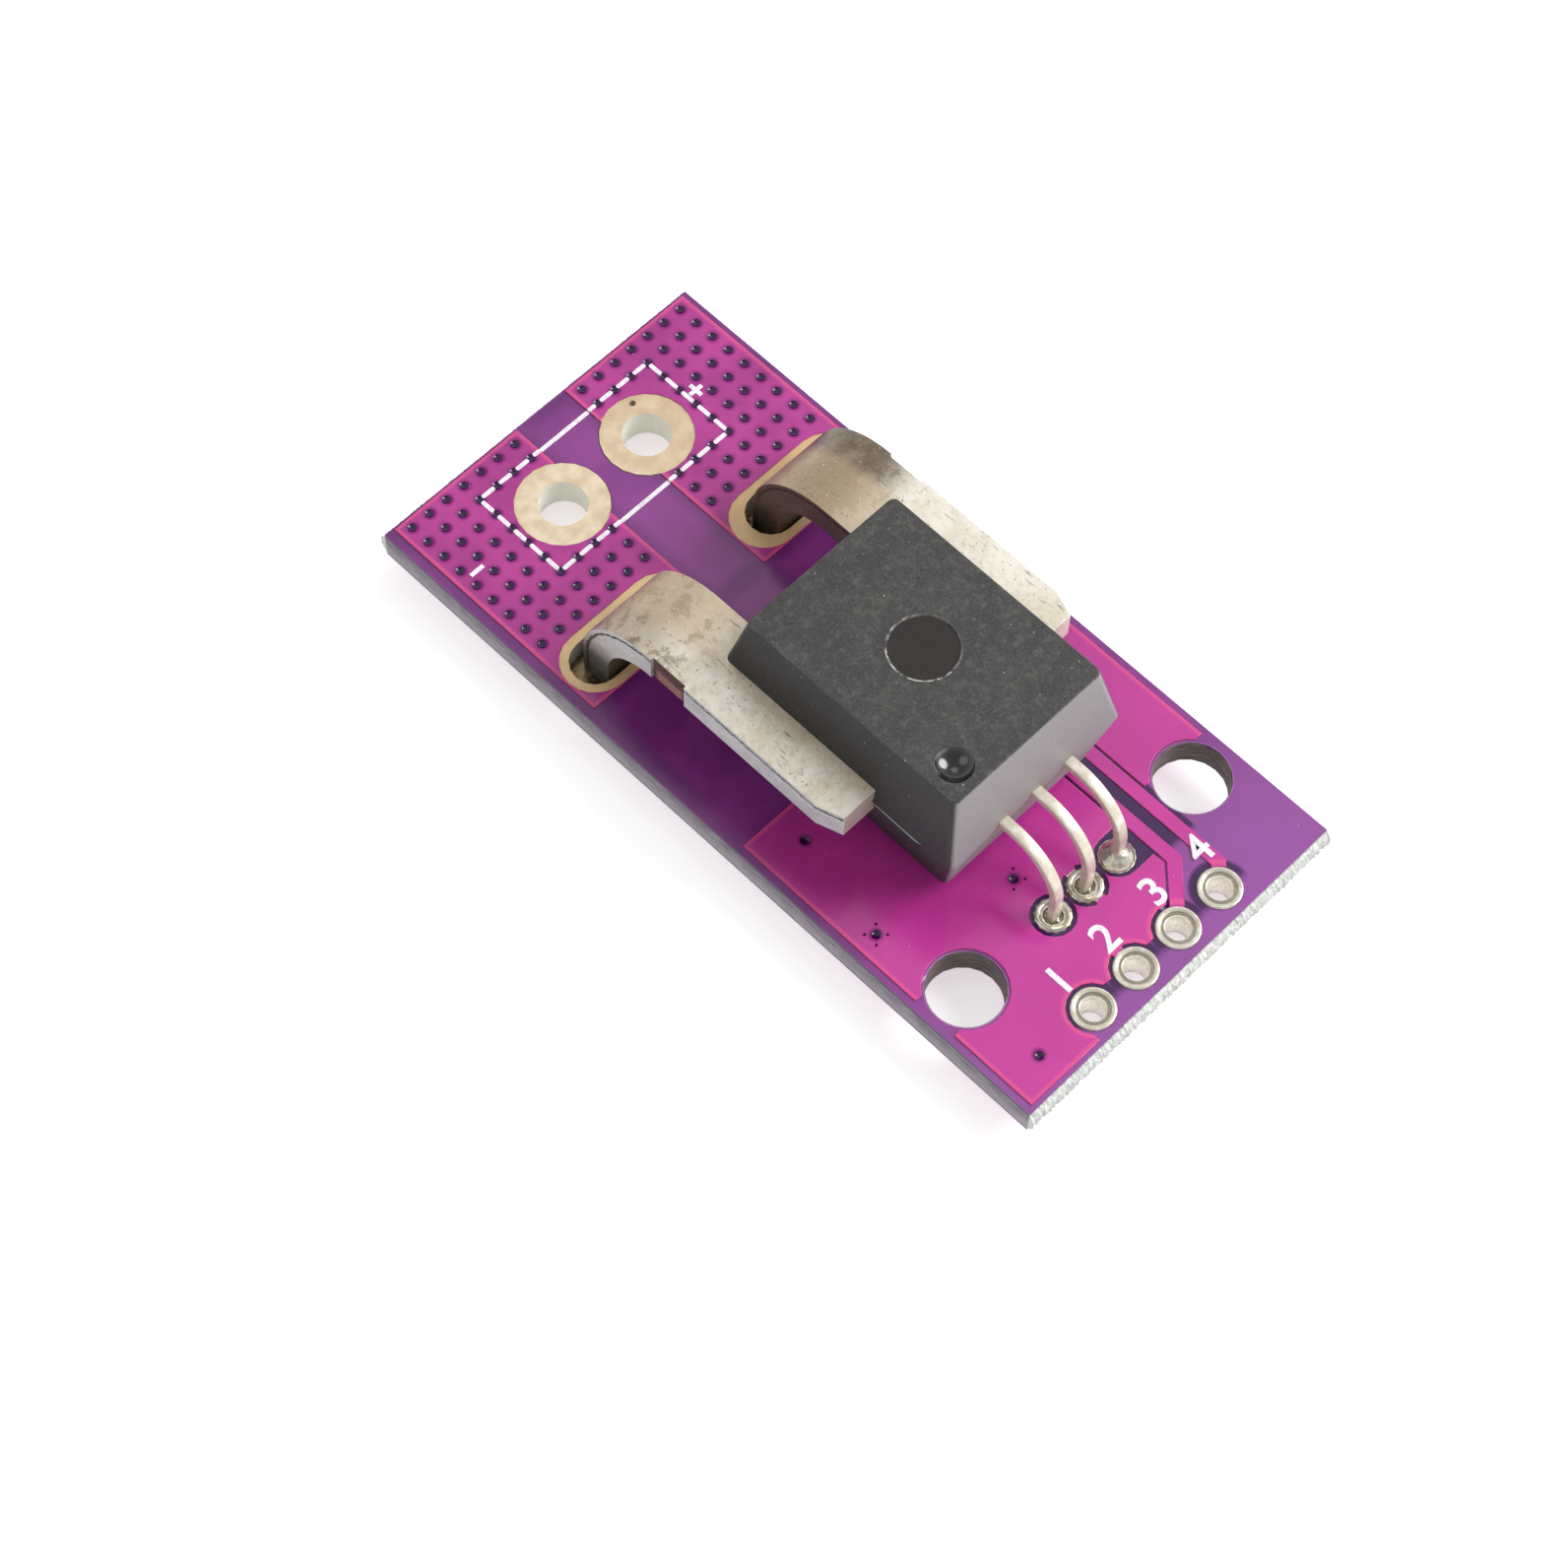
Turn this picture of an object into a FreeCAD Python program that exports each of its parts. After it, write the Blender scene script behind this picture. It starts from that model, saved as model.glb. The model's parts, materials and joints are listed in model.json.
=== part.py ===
import FreeCAD, Part
import math
import os

# Current sensor on a small through-hole circuit board, in millimetres.
# X runs across the board, Y along it with the pin header at the -Y end, Z up.
# The origin is under the board's middle, level with the tips of the leads and blades.

Vector = FreeCAD.Vector

# Circuit board, snapped off its panel along a scored line at each short edge
board_length = 37.5
board_rim = 0.95
core_thickness = 1.4
score_reach = 0.3
score_depth = 0.45
copper_thickness = 0.07
plating = 0.05
mask_thickness = 0.04
mask_pull_back = 0.04
print_thickness = 0.02
tail_length = 1.0
outline_tolerance = 0.022

# Mounting holes, near the header end
mount_radius = 1.65
mount_spacing = 13.6
mount_edge = 5.5
mount_keep_out = 0.2
mount_notch = 1.1

# Header holes along the near short edge
header_pitch = 2.54
header_edge = 1.31
header_hole_radius = 0.55
header_ring = 0.4

# Holes for the heavy current terminal at the far short edge
terminal_pitch = 5.0
terminal_edge = 4.2
terminal_hole_radius = 1.1
terminal_ring = 0.97

# Current pours and their grid of small vias
pour_shift = 0.1
pour_edge_gap = 0.4
pour_end_gap = 0.15
pour_split = 2.96
via_pitch = 1.0
via_edge = 0.575
via_post_width = 0.3
via_pit_radius = 0.26
via_pit_depth = 0.03
via_clearance = 0.28

# Printed outline of the terminal, drawn along the grid of vias
print_columns = 10
print_rows = 5
print_first_row = 1
print_line = 0.2
print_gap = 0.15

# Signal copper
track_width = 0.54
track_gap = 0.2
track_edge = 5.48
track_spacing = 1.19
track_far_end = 13.25
pad_gap = 0.23
spoke_width = 0.45
ground_edge_gap = 0.38
ground_far_end = 16.25
ground_side_end = 6.65
ground_near_end = 1.75
ground_tongue_end = 0.25
ground_tongue_width = 3.89
channel_end = 13.85
ground_via_places = ((2.32, 14.7), (1.32, 9.7), (7.08, 7.51), (2.1, 1.45))

# Sensor body, drafted both ways from its parting plane
sensor_edge = 14.88
body_width = 10.0
body_length = 13.0
body_height = 7.0
body_draft = 12.0
body_corner = 0.3
body_edge = 0.12
body_gap = 0.45
ejector_radius = 1.5
ejector_depth = 0.06
dimple_radius = 0.8
dimple_depth = 0.25
dimple_side = 2.96
dimple_reach = 4.49

# Primary conductor: two blades and two side bars, joined by a neck
conductor_thickness = 1.5
conductor_width = 14.0
blade_width = 4.0
blade_reach = 12.47
blade_bend_radius = 2.6
neck_reach = 2.18
neck_width = 3.25
bar_cut_length = 1.2
bar_cut_width = 0.4
tie_cut_depth = 0.12
tie_cut_length = 1.85

# Slots that the blades pass through
slot_inner_gap = 0.6
slot_outer_gap = 1.0
slot_front_gap = 0.21
slot_back_gap = 0.55
slot_ring = 0.42
slot_ring_inner = 0.9
slot_ring_outer = 0.5

# Core round the neck
core_wall = 1.4
core_back_leg = 1.4
core_pole = 1.8
core_width = 4.6
core_gap = 1.6
core_clearance = 0.2

# Signal leads, chip and wires
lead_pitch = 1.91
lead_reach = 9.62
lead_width = 0.51
lead_thickness = 0.38
lead_bend_radius = 2.41
lead_hole_gap = 0.13
lead_ring = 0.35
lead_tip_length = 1.0
lead_tip_width = 0.9
lead_tip_gap = 0.25
paddle_width = 2.2
paddle_gap = 0.25
chip_length = 1.2
chip_width = 1.4
chip_thickness = 0.28
adhesive_thickness = 0.03
wire_width = 0.05
wire_rise = 0.3
wire_inset = 0.2

# Solder
foot_margin = 0.08
foot_height = 0.62
tip_margin = 0.1
ring_height = 0.12
dome_height = 0.42
slot_rise = 0.45
slot_foot_spread = 0.3
slot_foot_height = 0.7

# Levels of the layers, from the tips of the tails upwards
copper_under = tail_length + mask_thickness
core_bottom = copper_under + copper_thickness
core_top = core_bottom + core_thickness
copper_top = core_top + copper_thickness
mask_level = copper_top + mask_thickness
bare_level = core_top + mask_thickness
body_bottom = mask_level + body_gap
body_top = body_bottom + body_height
parting = body_bottom + body_height / 2

# Places and sizes that several pieces share
half_length = board_length / 2
half_conductor = conductor_width / 2
sensor_y = sensor_edge - half_length
blade_inner = half_conductor - blade_width
blade_outer_y = sensor_y + blade_reach
blade_inner_y = blade_outer_y - conductor_thickness
slot_inner = blade_inner - slot_inner_gap
slot_outer = half_conductor + slot_outer_gap
slot_near = blade_inner_y - slot_front_gap
slot_far = blade_outer_y + slot_back_gap
half_width = slot_outer + board_rim
header_pad_radius = header_hole_radius + header_ring
terminal_ring_radius = terminal_hole_radius + terminal_ring
lead_hole_radius = math.hypot(lead_width, lead_thickness) / 2 + lead_hole_gap
lead_pad_radius = lead_hole_radius + lead_ring
mount_y = mount_edge - half_length
header_y = header_edge - half_length
terminal_y = half_length - terminal_edge
signal_y = sensor_y - lead_reach
body_front = sensor_y - body_length / 2
body_back = sensor_y + body_length / 2
neck_front = sensor_y - neck_reach
neck_back = neck_front + neck_width
core_front = neck_front - core_clearance - core_pole
lead_top = parting + lead_thickness / 2
chip_top = lead_top + adhesive_thickness + chip_thickness
track_x = half_width - track_edge
outer_track_x = track_x + track_spacing
track_y = track_far_end - half_length
track_space = track_width / 2 + track_gap
mount_places = [(side * mount_spacing / 2, mount_y) for side in (-1, 1)]
terminal_places = [(side * terminal_pitch / 2, terminal_y) for side in (-1, 1)]
header_places = [(i * header_pitch / 2, header_y) for i in (-3, -1, 1, 3)]
supply_pad, ground_pad, output_pad, second_output_pad = header_places
supply_pin, ground_pin, output_pin = [(i * lead_pitch, signal_y) for i in (-1, 0, 1)]
ground_vias = [(x - half_width, y - half_length) for x, y in ground_via_places]
link_via = (track_x, track_y)


# Flat outlines, as faces at zero height
def polygon(points, grow=0.0):
    """The face inside points given anticlockwise, with its outline moved outwards."""
    corners = [Vector(x, y, 0) for x, y in points]
    spans = [(b - a).normalize() for a, b in zip(corners, corners[1:] + corners[:1])]
    moved = []
    for corner, before, after in zip(corners, spans[-1:] + spans, spans):
        outward = Vector(before.y + after.y, -before.x - after.x, 0)
        moved.append(corner + outward * (grow / (1 + before.dot(after))))
    return Part.Face(Part.makePolygon(moved + moved[:1]))


def rectangle(x0, x1, y0, y1, grow=0.0):
    return polygon([(x0, y0), (x1, y0), (x1, y1), (x0, y1)], grow)


def square(place, width):
    x, y = place
    return rectangle(x - width / 2, x + width / 2, y - width / 2, y + width / 2)


def circle(place, radius):
    return Part.Face(Part.Wire(Part.makeCircle(radius, Vector(*place, 0))))


def turn_points(x, y, radius, start, end, sides):
    """Evenly spaced points along part of a turn, from start to end in degrees."""
    angles = [math.radians(start + (end - start) * i / sides) for i in range(sides + 1)]
    return [(x + radius * math.cos(a), y + radius * math.sin(a)) for a in angles]


def half_turn_sides(radius):
    """Sides that keep half a round within the tolerance of its true arc."""
    return math.ceil(math.pi / 2 / math.acos(1 - outline_tolerance / radius))


def disc(place, radius):
    """A round outline in the thin layers, where straight sides within a tolerance will do."""
    return polygon(turn_points(*place, radius, 0, 360, 2 * half_turn_sides(radius))[1:])


def oblong(x0, x1, y0, y1):
    """A slot's outline, with a half round at each end of X."""
    radius, middle = (y1 - y0) / 2, (y0 + y1) / 2
    sides = half_turn_sides(radius)
    right = turn_points(x1 - radius, middle, radius, -90, 90, sides)
    return polygon(right + turn_points(x0 + radius, middle, radius, 90, 270, sides))


def track(points, width):
    """A track of even width, with square ends and mitred bends."""
    spans = [Vector(b[0] - a[0], b[1] - a[1], 0).normalize() for a, b in zip(points, points[1:])]
    left, right = [], []
    for (x, y), before, after in zip(points, spans[:1] + spans, spans + spans[-1:]):
        along = (before + after).normalize()
        reach = width / 2 / along.dot(before)
        left.append((x - along.y * reach, y + along.x * reach))
        right.append((x + along.y * reach, y - along.x * reach))
    return polygon(right + left[::-1])


# Solids from outlines
def union(shapes):
    return shapes[0].fuse(shapes[1:]).removeSplitter() if len(shapes) > 1 else shapes[0]


def raised(face, low, high):
    return face.translated(Vector(0, 0, low)).extrude(Vector(0, 0, high - low))


def tapered(low_face, low, high_face, high):
    """A solid between two outlines that have the same number of sides."""
    rims = [face.OuterWire.translated(Vector(0, 0, z)) for face, z in ((low_face, low), (high_face, high))]
    return Part.makeLoft(rims, True, True)


def layer(outlines, low, high):
    """One sheet: what the first outlines cover, less what the second ones do."""
    added, removed = outlines
    sheet = union([raised(face, low, high) for face in added])
    return sheet.cut([raised(face, low - 1, high + 1) for face in removed]) if removed else sheet


def box(x0, x1, y0, y1, z0, z1):
    return Part.makeBox(x1 - x0, y1 - y0, z1 - z0, Vector(x0, y0, z0))


def upright(points, x0, x1):
    """A solid drawn in the YZ plane and run from x0 to x1."""
    corners = [Vector(x0, y, z) for y, z in points]
    return Part.Face(Part.makePolygon(corners + corners[:1])).extrude(Vector(x1 - x0, 0, 0))


def bent_strip(x0, x1, start, outer_y, thickness, bend_radius):
    """A strip that leaves the parting plane level, bends down and ends at the tips' level."""
    away = math.copysign(1, outer_y - start)
    inner_y = outer_y - away * thickness
    centre_y = inner_y - away * bend_radius
    top, under = parting + thickness / 2, parting - thickness / 2
    centre_z = under - bend_radius
    slant = math.sqrt(0.5)

    def at(y, z):
        return Vector(x0, y, z)

    def mid_bend(radius):
        return at(centre_y + away * radius * slant, centre_z + radius * slant)

    outline = [
        Part.makeLine(at(start, under), at(start, top)),
        Part.makeLine(at(start, top), at(centre_y, top)),
        Part.Arc(at(centre_y, top), mid_bend(bend_radius + thickness), at(outer_y, centre_z)).toShape(),
        Part.makeLine(at(outer_y, centre_z), at(outer_y, 0)),
        Part.makeLine(at(outer_y, 0), at(inner_y, 0)),
        Part.makeLine(at(inner_y, 0), at(inner_y, centre_z)),
        Part.Arc(at(inner_y, centre_z), mid_bend(bend_radius), at(centre_y, under)).toShape(),
        Part.makeLine(at(centre_y, under), at(start, under)),
    ]
    return Part.Face(Part.Wire(outline)).extrude(Vector(x1 - x0, 0, 0))


# Places of the vias and outlines of the copper
def grid_between(low, high):
    """Multiples of the via pitch that lie between two distances."""
    return [i * via_pitch for i in range(math.ceil(low / via_pitch), math.floor(high / via_pitch) + 1)]


def pour_vias(side):
    """A grid of vias that keeps clear of the slot, the terminal hole and the pour's edges."""
    reach = terminal_ring_radius + via_clearance
    columns = grid_between(pour_split / 2 + via_clearance, half_width - pour_edge_gap - via_clearance)
    depths = grid_between(0, half_length - via_edge - slot_far - slot_ring - via_clearance)
    places = [(side * x + pour_shift, half_length - via_edge - depth) for depth in depths for x in columns]
    return [place for place in places
            if math.hypot(place[0] - side * terminal_pitch / 2, place[1] - terminal_y) > reach]


def pour_outlines(side, grow=0.0):
    """One current pour, and the terminal ring that reaches past its inner edge."""
    edges = sorted(side * x + pour_shift for x in (pour_split / 2, half_width - pour_edge_gap))
    near, far = slot_near - slot_ring, half_length - pour_end_gap
    ring = disc((side * terminal_pitch / 2, terminal_y), terminal_ring_radius + grow)
    return [rectangle(*edges, near, far, grow), ring], []


def slot_outline(side, inner_margin=0.0, outer_margin=0.0, end_margin=0.0, shift=0.0):
    edges = sorted(side * x + shift for x in (slot_inner - inner_margin, slot_outer + outer_margin))
    return oblong(*edges, slot_near - end_margin, slot_far + end_margin)


def pad_gaps(grow):
    """Gaps that ground copper leaves round every pad."""
    gaps = [disc(place, lead_pad_radius + pad_gap - grow) for place in (supply_pin, ground_pin, output_pin)]
    return gaps + [disc(place, header_pad_radius + pad_gap - grow) for place in header_places]


def mount_gaps(grow):
    """Round gaps at the mounting holes, with the left one open to the board's edge."""
    gaps = [disc(place, mount_radius + mount_keep_out - grow) for place in mount_places]
    x, y = mount_places[0]
    return gaps + [rectangle(-half_width, x, y - mount_notch, y + mount_notch, -grow)]


def upper_ground(grow=0.0):
    """Ground copper round both sides of the two output tracks."""
    edge, channel_edge = half_width - ground_edge_gap, track_x - track_space
    tongue, near = ground_tongue_end - half_length, ground_near_end - half_length
    tongue_side = ground_tongue_width - edge
    channel, far = channel_end - half_length, ground_far_end - half_length
    side_end = ground_side_end - half_length
    bend = header_y + track_x - output_pad[0] + track_space * math.tan(math.pi / 8)
    outline = [
        (-edge, tongue), (tongue_side, tongue), (tongue_side, near), (channel_edge - bend + near, near),
        (channel_edge, bend), (channel_edge, channel), (outer_track_x + track_space, channel),
        (outer_track_x + track_space, side_end), (edge, side_end), (edge, far), (-edge, far),
    ]
    x, y = output_pin
    half = lead_pad_radius + pad_gap
    beside_pin = rectangle(x, channel_edge + track_gap, y - half, y + half, -grow)
    return [polygon(outline, grow)], mount_gaps(grow) + pad_gaps(grow) + [beside_pin]


def lower_ground(grow=0.0):
    """Ground copper under the board, round the supply track and the lower output track."""
    edge = half_width - ground_edge_gap
    near, far = ground_near_end - half_length, ground_far_end - half_length
    routes = (supply_route(), lower_output_route())
    gaps = [track(route, 2 * (track_space - grow)) for route in routes]
    gaps += [square(link_via, 2 * (track_space - grow))]
    return [rectangle(-edge, edge, near, far, grow)], mount_gaps(grow) + pad_gaps(grow) + gaps


def supply_route():
    """From the first header hole to the first pin, turning by half a right angle."""
    return [supply_pad, (supply_pad[0], signal_y - supply_pin[0] + supply_pad[0]), supply_pin]


def lower_output_route():
    return [link_via, (track_x, signal_y + track_x - output_pin[0]), output_pin]


def upper_output_routes():
    """Two tracks side by side to the last two header holes, and the link between them."""
    pairs = ((track_x, output_pad), (outer_track_x, second_output_pad))
    routes = [[(x, track_y), (x, header_y + x - pad[0]), pad] for x, pad in pairs]
    return routes + [[(track_x - track_width / 2, track_y), (outer_track_x + track_width / 2, track_y)]]


def pads(header, pins, grow=0.0):
    rings = [disc(place, header_pad_radius + grow) for place in header]
    return rings + [disc(place, lead_pad_radius + grow) for place in pins]


def spokes(grow):
    """Thin bridges of copper along Y that join the ground pads to the copper round them."""
    places = [(ground_pin, lead_pad_radius, -1), (ground_pin, lead_pad_radius, 1)]
    bridges = []
    for (x, y), radius, end in places + [(ground_pad, header_pad_radius, 1)]:
        span = sorted((y + end * lead_hole_radius, y + end * (radius + 2 * pad_gap)))
        bridges.append(rectangle(x - spoke_width / 2, x + spoke_width / 2, *span, grow))
    return bridges


def tracks(routes, grow=0.0):
    return [track(route, track_width + 2 * grow) for route in routes]


def net_layers(upper, grow=0.0):
    """The sheets of each net in one layer, each as outlines to add and to take away."""
    supply = pads([supply_pad], [supply_pin], grow)
    output = pads([output_pad, second_output_pad], [output_pin], grow)
    ground = pads([ground_pad], [ground_pin], grow) + spokes(grow)
    if upper:
        output += tracks(upper_output_routes(), grow)
    else:
        supply += tracks([supply_route()], grow)
        output += tracks([lower_output_route()], grow)
    return {
        "copper_return": [pour_outlines(-1, grow)],
        "copper_input": [pour_outlines(1, grow)],
        "copper_ground": [upper_ground(grow) if upper else lower_ground(grow), (ground, [])],
        "copper_supply": [(supply, [])],
        "copper_output": [(output, [])],
    }


def net_bores(name):
    """The round bores of one net that take a pin of the terminal or the header."""
    places = {
        "copper_return": (terminal_places[:1], terminal_hole_radius),
        "copper_input": (terminal_places[1:], terminal_hole_radius),
        "copper_ground": ([ground_pad], header_hole_radius),
        "copper_supply": ([supply_pad], header_hole_radius),
        "copper_output": ([output_pad, second_output_pad], header_hole_radius),
    }
    return places[name]


def net_solder_holes(name, extra=0.0):
    """The holes of one net that are filled with solder, grown by a plating or not."""
    if name in ("copper_return", "copper_input"):
        return [slot_outline(1 if name == "copper_input" else -1, extra, extra, extra)]
    pins = {"copper_ground": ground_pin, "copper_supply": supply_pin, "copper_output": output_pin}
    return [disc(pins[name], lead_hole_radius + extra)]


def net_posts(name):
    """Outlines of what joins the two layers of one net: the walls of its holes, and its lone vias.

    The grid of vias in a current pour shows only as pits in the mask, with solid board under them.
    """
    lone_vias = {"copper_ground": ground_vias, "copper_output": [link_via]}.get(name, [])
    places, radius = net_bores(name)
    walls = [disc(place, radius + plating) for place in places]
    return walls + net_solder_holes(name, plating) + [square(place, via_post_width) for place in lone_vias]


# The pieces
def laminate():
    """The glass and resin core, with a scored slope and a snapped web at each short edge."""
    web = half_length + score_reach
    upper_score, lower_score = core_top - score_depth, core_bottom + score_depth
    core = upright([
        (-half_length, core_top), (-web, upper_score), (-web, lower_score), (-half_length, core_bottom),
        (half_length, core_bottom), (web, lower_score), (web, upper_score), (half_length, core_top),
    ], -half_width, half_width)
    holes = [circle(place, mount_radius) for place in mount_places]
    for name in net_names:
        holes += net_posts(name)
    return core.cut([raised(face, 0, mask_level) for face in holes])


def copper_net(name):
    """Both layers of one net, joined by the plated walls of its holes and by filled vias."""
    shapes = [layer(sheet, core_top, copper_top) for sheet in net_layers(True)[name]]
    shapes += [layer(sheet, copper_under, core_bottom) for sheet in net_layers(False)[name]]
    bite = copper_thickness / 2
    shapes += [raised(face, core_bottom - bite, core_top + bite) for face in net_posts(name)]
    places, radius = net_bores(name)
    holes = [circle(place, radius) for place in places] + net_solder_holes(name)
    return union(shapes).cut([raised(face, 0, mask_level) for face in holes])


def mask_openings():
    """Where the mask is left open: round the mounting holes and over the pads."""
    openings = [disc(place, mount_radius + mask_pull_back) for place in mount_places]
    openings += pads(header_places, [supply_pin, ground_pin, output_pin], mask_pull_back)
    openings += [disc(place, terminal_ring_radius + mask_pull_back) for place in terminal_places]
    margins = (slot_ring_inner, slot_ring_outer, slot_ring, pour_shift)
    return openings + [slot_outline(side, *margins) for side in (-1, 1)]


def solder_mask(upper, nets):
    """A skin on the core. The upper one steps over the copper, the lower one fills flush."""
    board = rectangle(-half_width, half_width, -half_length, half_length)
    if upper:
        skin = [raised(board, core_top, bare_level)]
        sheets = [sheet for net in net_layers(True, mask_thickness).values() for sheet in net]
        skin += [layer(sheet, core_top, mask_level) for sheet in sheets]
    else:
        skin = [raised(board, tail_length, core_bottom)]
    mask = union(skin).common(raised(board, 0, body_bottom))
    return mask.cut([raised(face, 0, body_bottom) for face in mask_openings()]).cut(nets)


def via_pits():
    """Small six-sided pits where the upper mask sinks over the vias."""
    pits = []
    for x, y in pour_vias(-1) + pour_vias(1) + ground_vias:
        rim = polygon(turn_points(x, y, via_pit_radius, 0, 360, 6)[1:]).OuterWire
        rim.translate(Vector(0, 0, mask_level))
        floor = Part.Vertex(x, y, mask_level - via_pit_depth)
        pits.append(Part.makeLoft([rim, floor], True, True))
    return pits


def printed_outline():
    """The terminal's outline in dashes between the vias, kept off bare metal.

    It lies lower where it crosses the strip between the two pours.
    """
    left = pour_shift - print_columns / 2 * via_pitch
    top = half_length - via_edge - print_first_row * via_pitch
    columns = [left + i * via_pitch for i in range(print_columns + 1)]
    rows = [top - i * via_pitch for i in range(print_rows + 1)]
    half = print_line / 2
    split = pour_split / 2 - mask_thickness
    strip = (pour_shift - split, pour_shift + split)
    before = max(x for x in columns if x < strip[0] - print_gap)
    after = min(x for x in columns if x > strip[1] + print_gap)

    def dash(x0, x1, y0, y1, level=mask_level):
        return box(x0, x1, y0, y1, level, level + print_thickness)

    dashes = []
    for y in (rows[0], rows[-1]):
        for x0, x1 in zip(columns, columns[1:]):
            if x1 <= before or x0 >= after:
                dashes.append(dash(x0 + print_gap, x1 - print_gap, y - half, y + half))
        dashes.append(dash(before + print_gap, strip[0], y - half, y + half))
        dashes.append(dash(strip[0], strip[1], y - half, y + half, bare_level))
        dashes.append(dash(strip[1], after - print_gap, y - half, y + half))
    for x in (columns[0], columns[-1]):
        for y1, y0 in zip(rows, rows[1:]):
            dashes.append(dash(x - half, x + half, y0 + print_gap, y1 - print_gap))
    bare_metal = [raised(face, core_top, body_bottom) for face in mask_openings()]
    return Part.makeCompound(dashes).cut(bare_metal)


def primary_conductor():
    """One stamped piece: a neck in the core, side bars, and blades bent down through the slots."""
    outer, inner = half_conductor, blade_inner
    cut_y = neck_front + bar_cut_length
    plate = polygon([
        (-outer + bar_cut_width, neck_front), (outer - bar_cut_width, neck_front), (outer, cut_y),
        (outer, neck_back), (-outer, neck_back), (-outer, cut_y),
    ])
    half = conductor_thickness / 2
    pieces = [raised(plate, parting - half, parting + half)]
    for x0, x1 in ((-outer, -inner), (inner, outer)):
        pieces.append(bent_strip(x0, x1, neck_back, blade_outer_y, conductor_thickness, blade_bend_radius))
    tie_cuts = []
    for side in (-1, 1):
        edges = sorted((side * outer, side * (outer - tie_cut_depth)))
        tie_cuts.append(box(*edges, body_back, body_back + tie_cut_length, body_bottom, body_top))
    return union(pieces).cut(tie_cuts)


def magnetic_core():
    """A C of soft iron round the neck, open where its two poles face the chip."""
    front, pole_back = core_front, core_front + core_pole
    window_back = neck_back + core_clearance
    back = window_back + core_back_leg
    window = conductor_thickness / 2 + core_clearance
    outer, gap = window + core_wall, core_gap / 2
    points = [
        (front, gap), (front, outer), (back, outer), (back, -outer), (front, -outer), (front, -gap),
        (pole_back, -gap), (pole_back, -window), (window_back, -window), (window_back, window),
        (pole_back, window), (pole_back, gap),
    ]
    return upright([(y, parting + z) for y, z in points], -core_width / 2, core_width / 2)


def lead(place, inner_end, inner_width, inner_length):
    """A signal lead: a wide inner end, a straight run out of the body, and a bent leg."""
    x, outer_y = place[0], signal_y - lead_thickness / 2
    wide_end = inner_end - inner_length
    level = (parting - lead_thickness / 2, lead_top)
    wide = box(x - inner_width / 2, x + inner_width / 2, wide_end, inner_end, *level)
    sides = (x - lead_width / 2, x + lead_width / 2)
    leg = bent_strip(*sides, wide_end, outer_y, lead_thickness, lead_bend_radius)
    return union([wide, leg])


def leads():
    """The outer two end in front of the core, and the ground lead's paddle lies in its gap."""
    tip = core_front - lead_tip_gap
    paddle_end = core_front + core_pole - paddle_gap
    return {
        "lead_supply": lead(supply_pin, tip, lead_tip_width, lead_tip_length),
        "lead_ground": lead(ground_pin, paddle_end, paddle_width, paddle_end - tip),
        "lead_output": lead(output_pin, tip, lead_tip_width, lead_tip_length),
    }


def chip_block(low, high):
    middle = core_front + core_pole / 2
    return box(-chip_width / 2, chip_width / 2, middle - chip_length / 2, middle + chip_length / 2, low, high)


def wire(start, end):
    """A fine wire of square section, in one arc between two surfaces."""
    top = (start + end) / 2 + Vector(0, 0, wire_rise)
    arc = Part.Arc(start, top, end)
    along = arc.tangent(arc.FirstParameter)[0]
    side = (end - start).cross(Vector(0, 0, 1)).normalize() * (wire_width / 2)
    across = along.cross(side)
    corners = [start + side + across, start + side - across, start - side - across, start - side + across]
    rim = Part.makePolygon(corners + corners[:1])
    return Part.Wire(arc.toShape()).makePipeShell([rim], True, True)


def bond_wires(seats):
    """From the chip's front edge to the inner end of each lead, cut off at both surfaces."""
    chip_front = core_front + core_pole / 2 - chip_length / 2 + wire_inset
    landing = core_front - lead_tip_gap - lead_tip_length / 2
    reach = chip_width / 2 - wire_inset
    sink = Vector(0, 0, wire_width / 2)
    wires = []
    for side, pin in ((-1, supply_pin), (0, ground_pin), (1, output_pin)):
        start = Vector(side * reach, chip_front, chip_top) - sink
        end = Vector(pin[0], landing, lead_top) - sink
        wires.append(wire(start, end).cut(seats))
    return Part.makeCompound(wires)


def body_outline(inset, level):
    """The body's outline at one level, drawn in from its parting line."""
    x, y0, y1 = body_width / 2 - inset, body_front + inset, body_back - inset
    block = box(-x, x, y0, y1, level, level + 1)
    upright_edges = [edge for edge in block.Edges if edge.BoundBox.ZLength > 0.5]
    rounded = block.makeFillet(body_corner, upright_edges)
    return min(rounded.Faces, key=lambda face: face.CenterOfMass.z).OuterWire


def sensor_body(inside):
    """Two drafted halves of moulding round everything inside, with two round marks on top."""
    slope = math.tan(math.radians(body_draft))
    inset = (body_height / 2 - body_edge) * slope
    halves = []
    for end, side in ((body_bottom, 1), (body_top, -1)):
        shoulder = body_outline(inset, end + side * body_edge)
        halves.append(Part.makeLoft([body_outline(0, parting), shoulder], True, True))
        halves.append(Part.makeLoft([shoulder, body_outline(inset + body_edge, end)], True, True))
    ejector = disc((0, sensor_y), ejector_radius)
    dimple = disc((-dimple_side, sensor_y - dimple_reach), dimple_radius)
    marks = [raised(ejector, body_top - ejector_depth, body_top + 1),
             raised(dimple, body_top - dimple_depth, body_top + 1)]
    return union(halves).cut(marks + inside)


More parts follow.
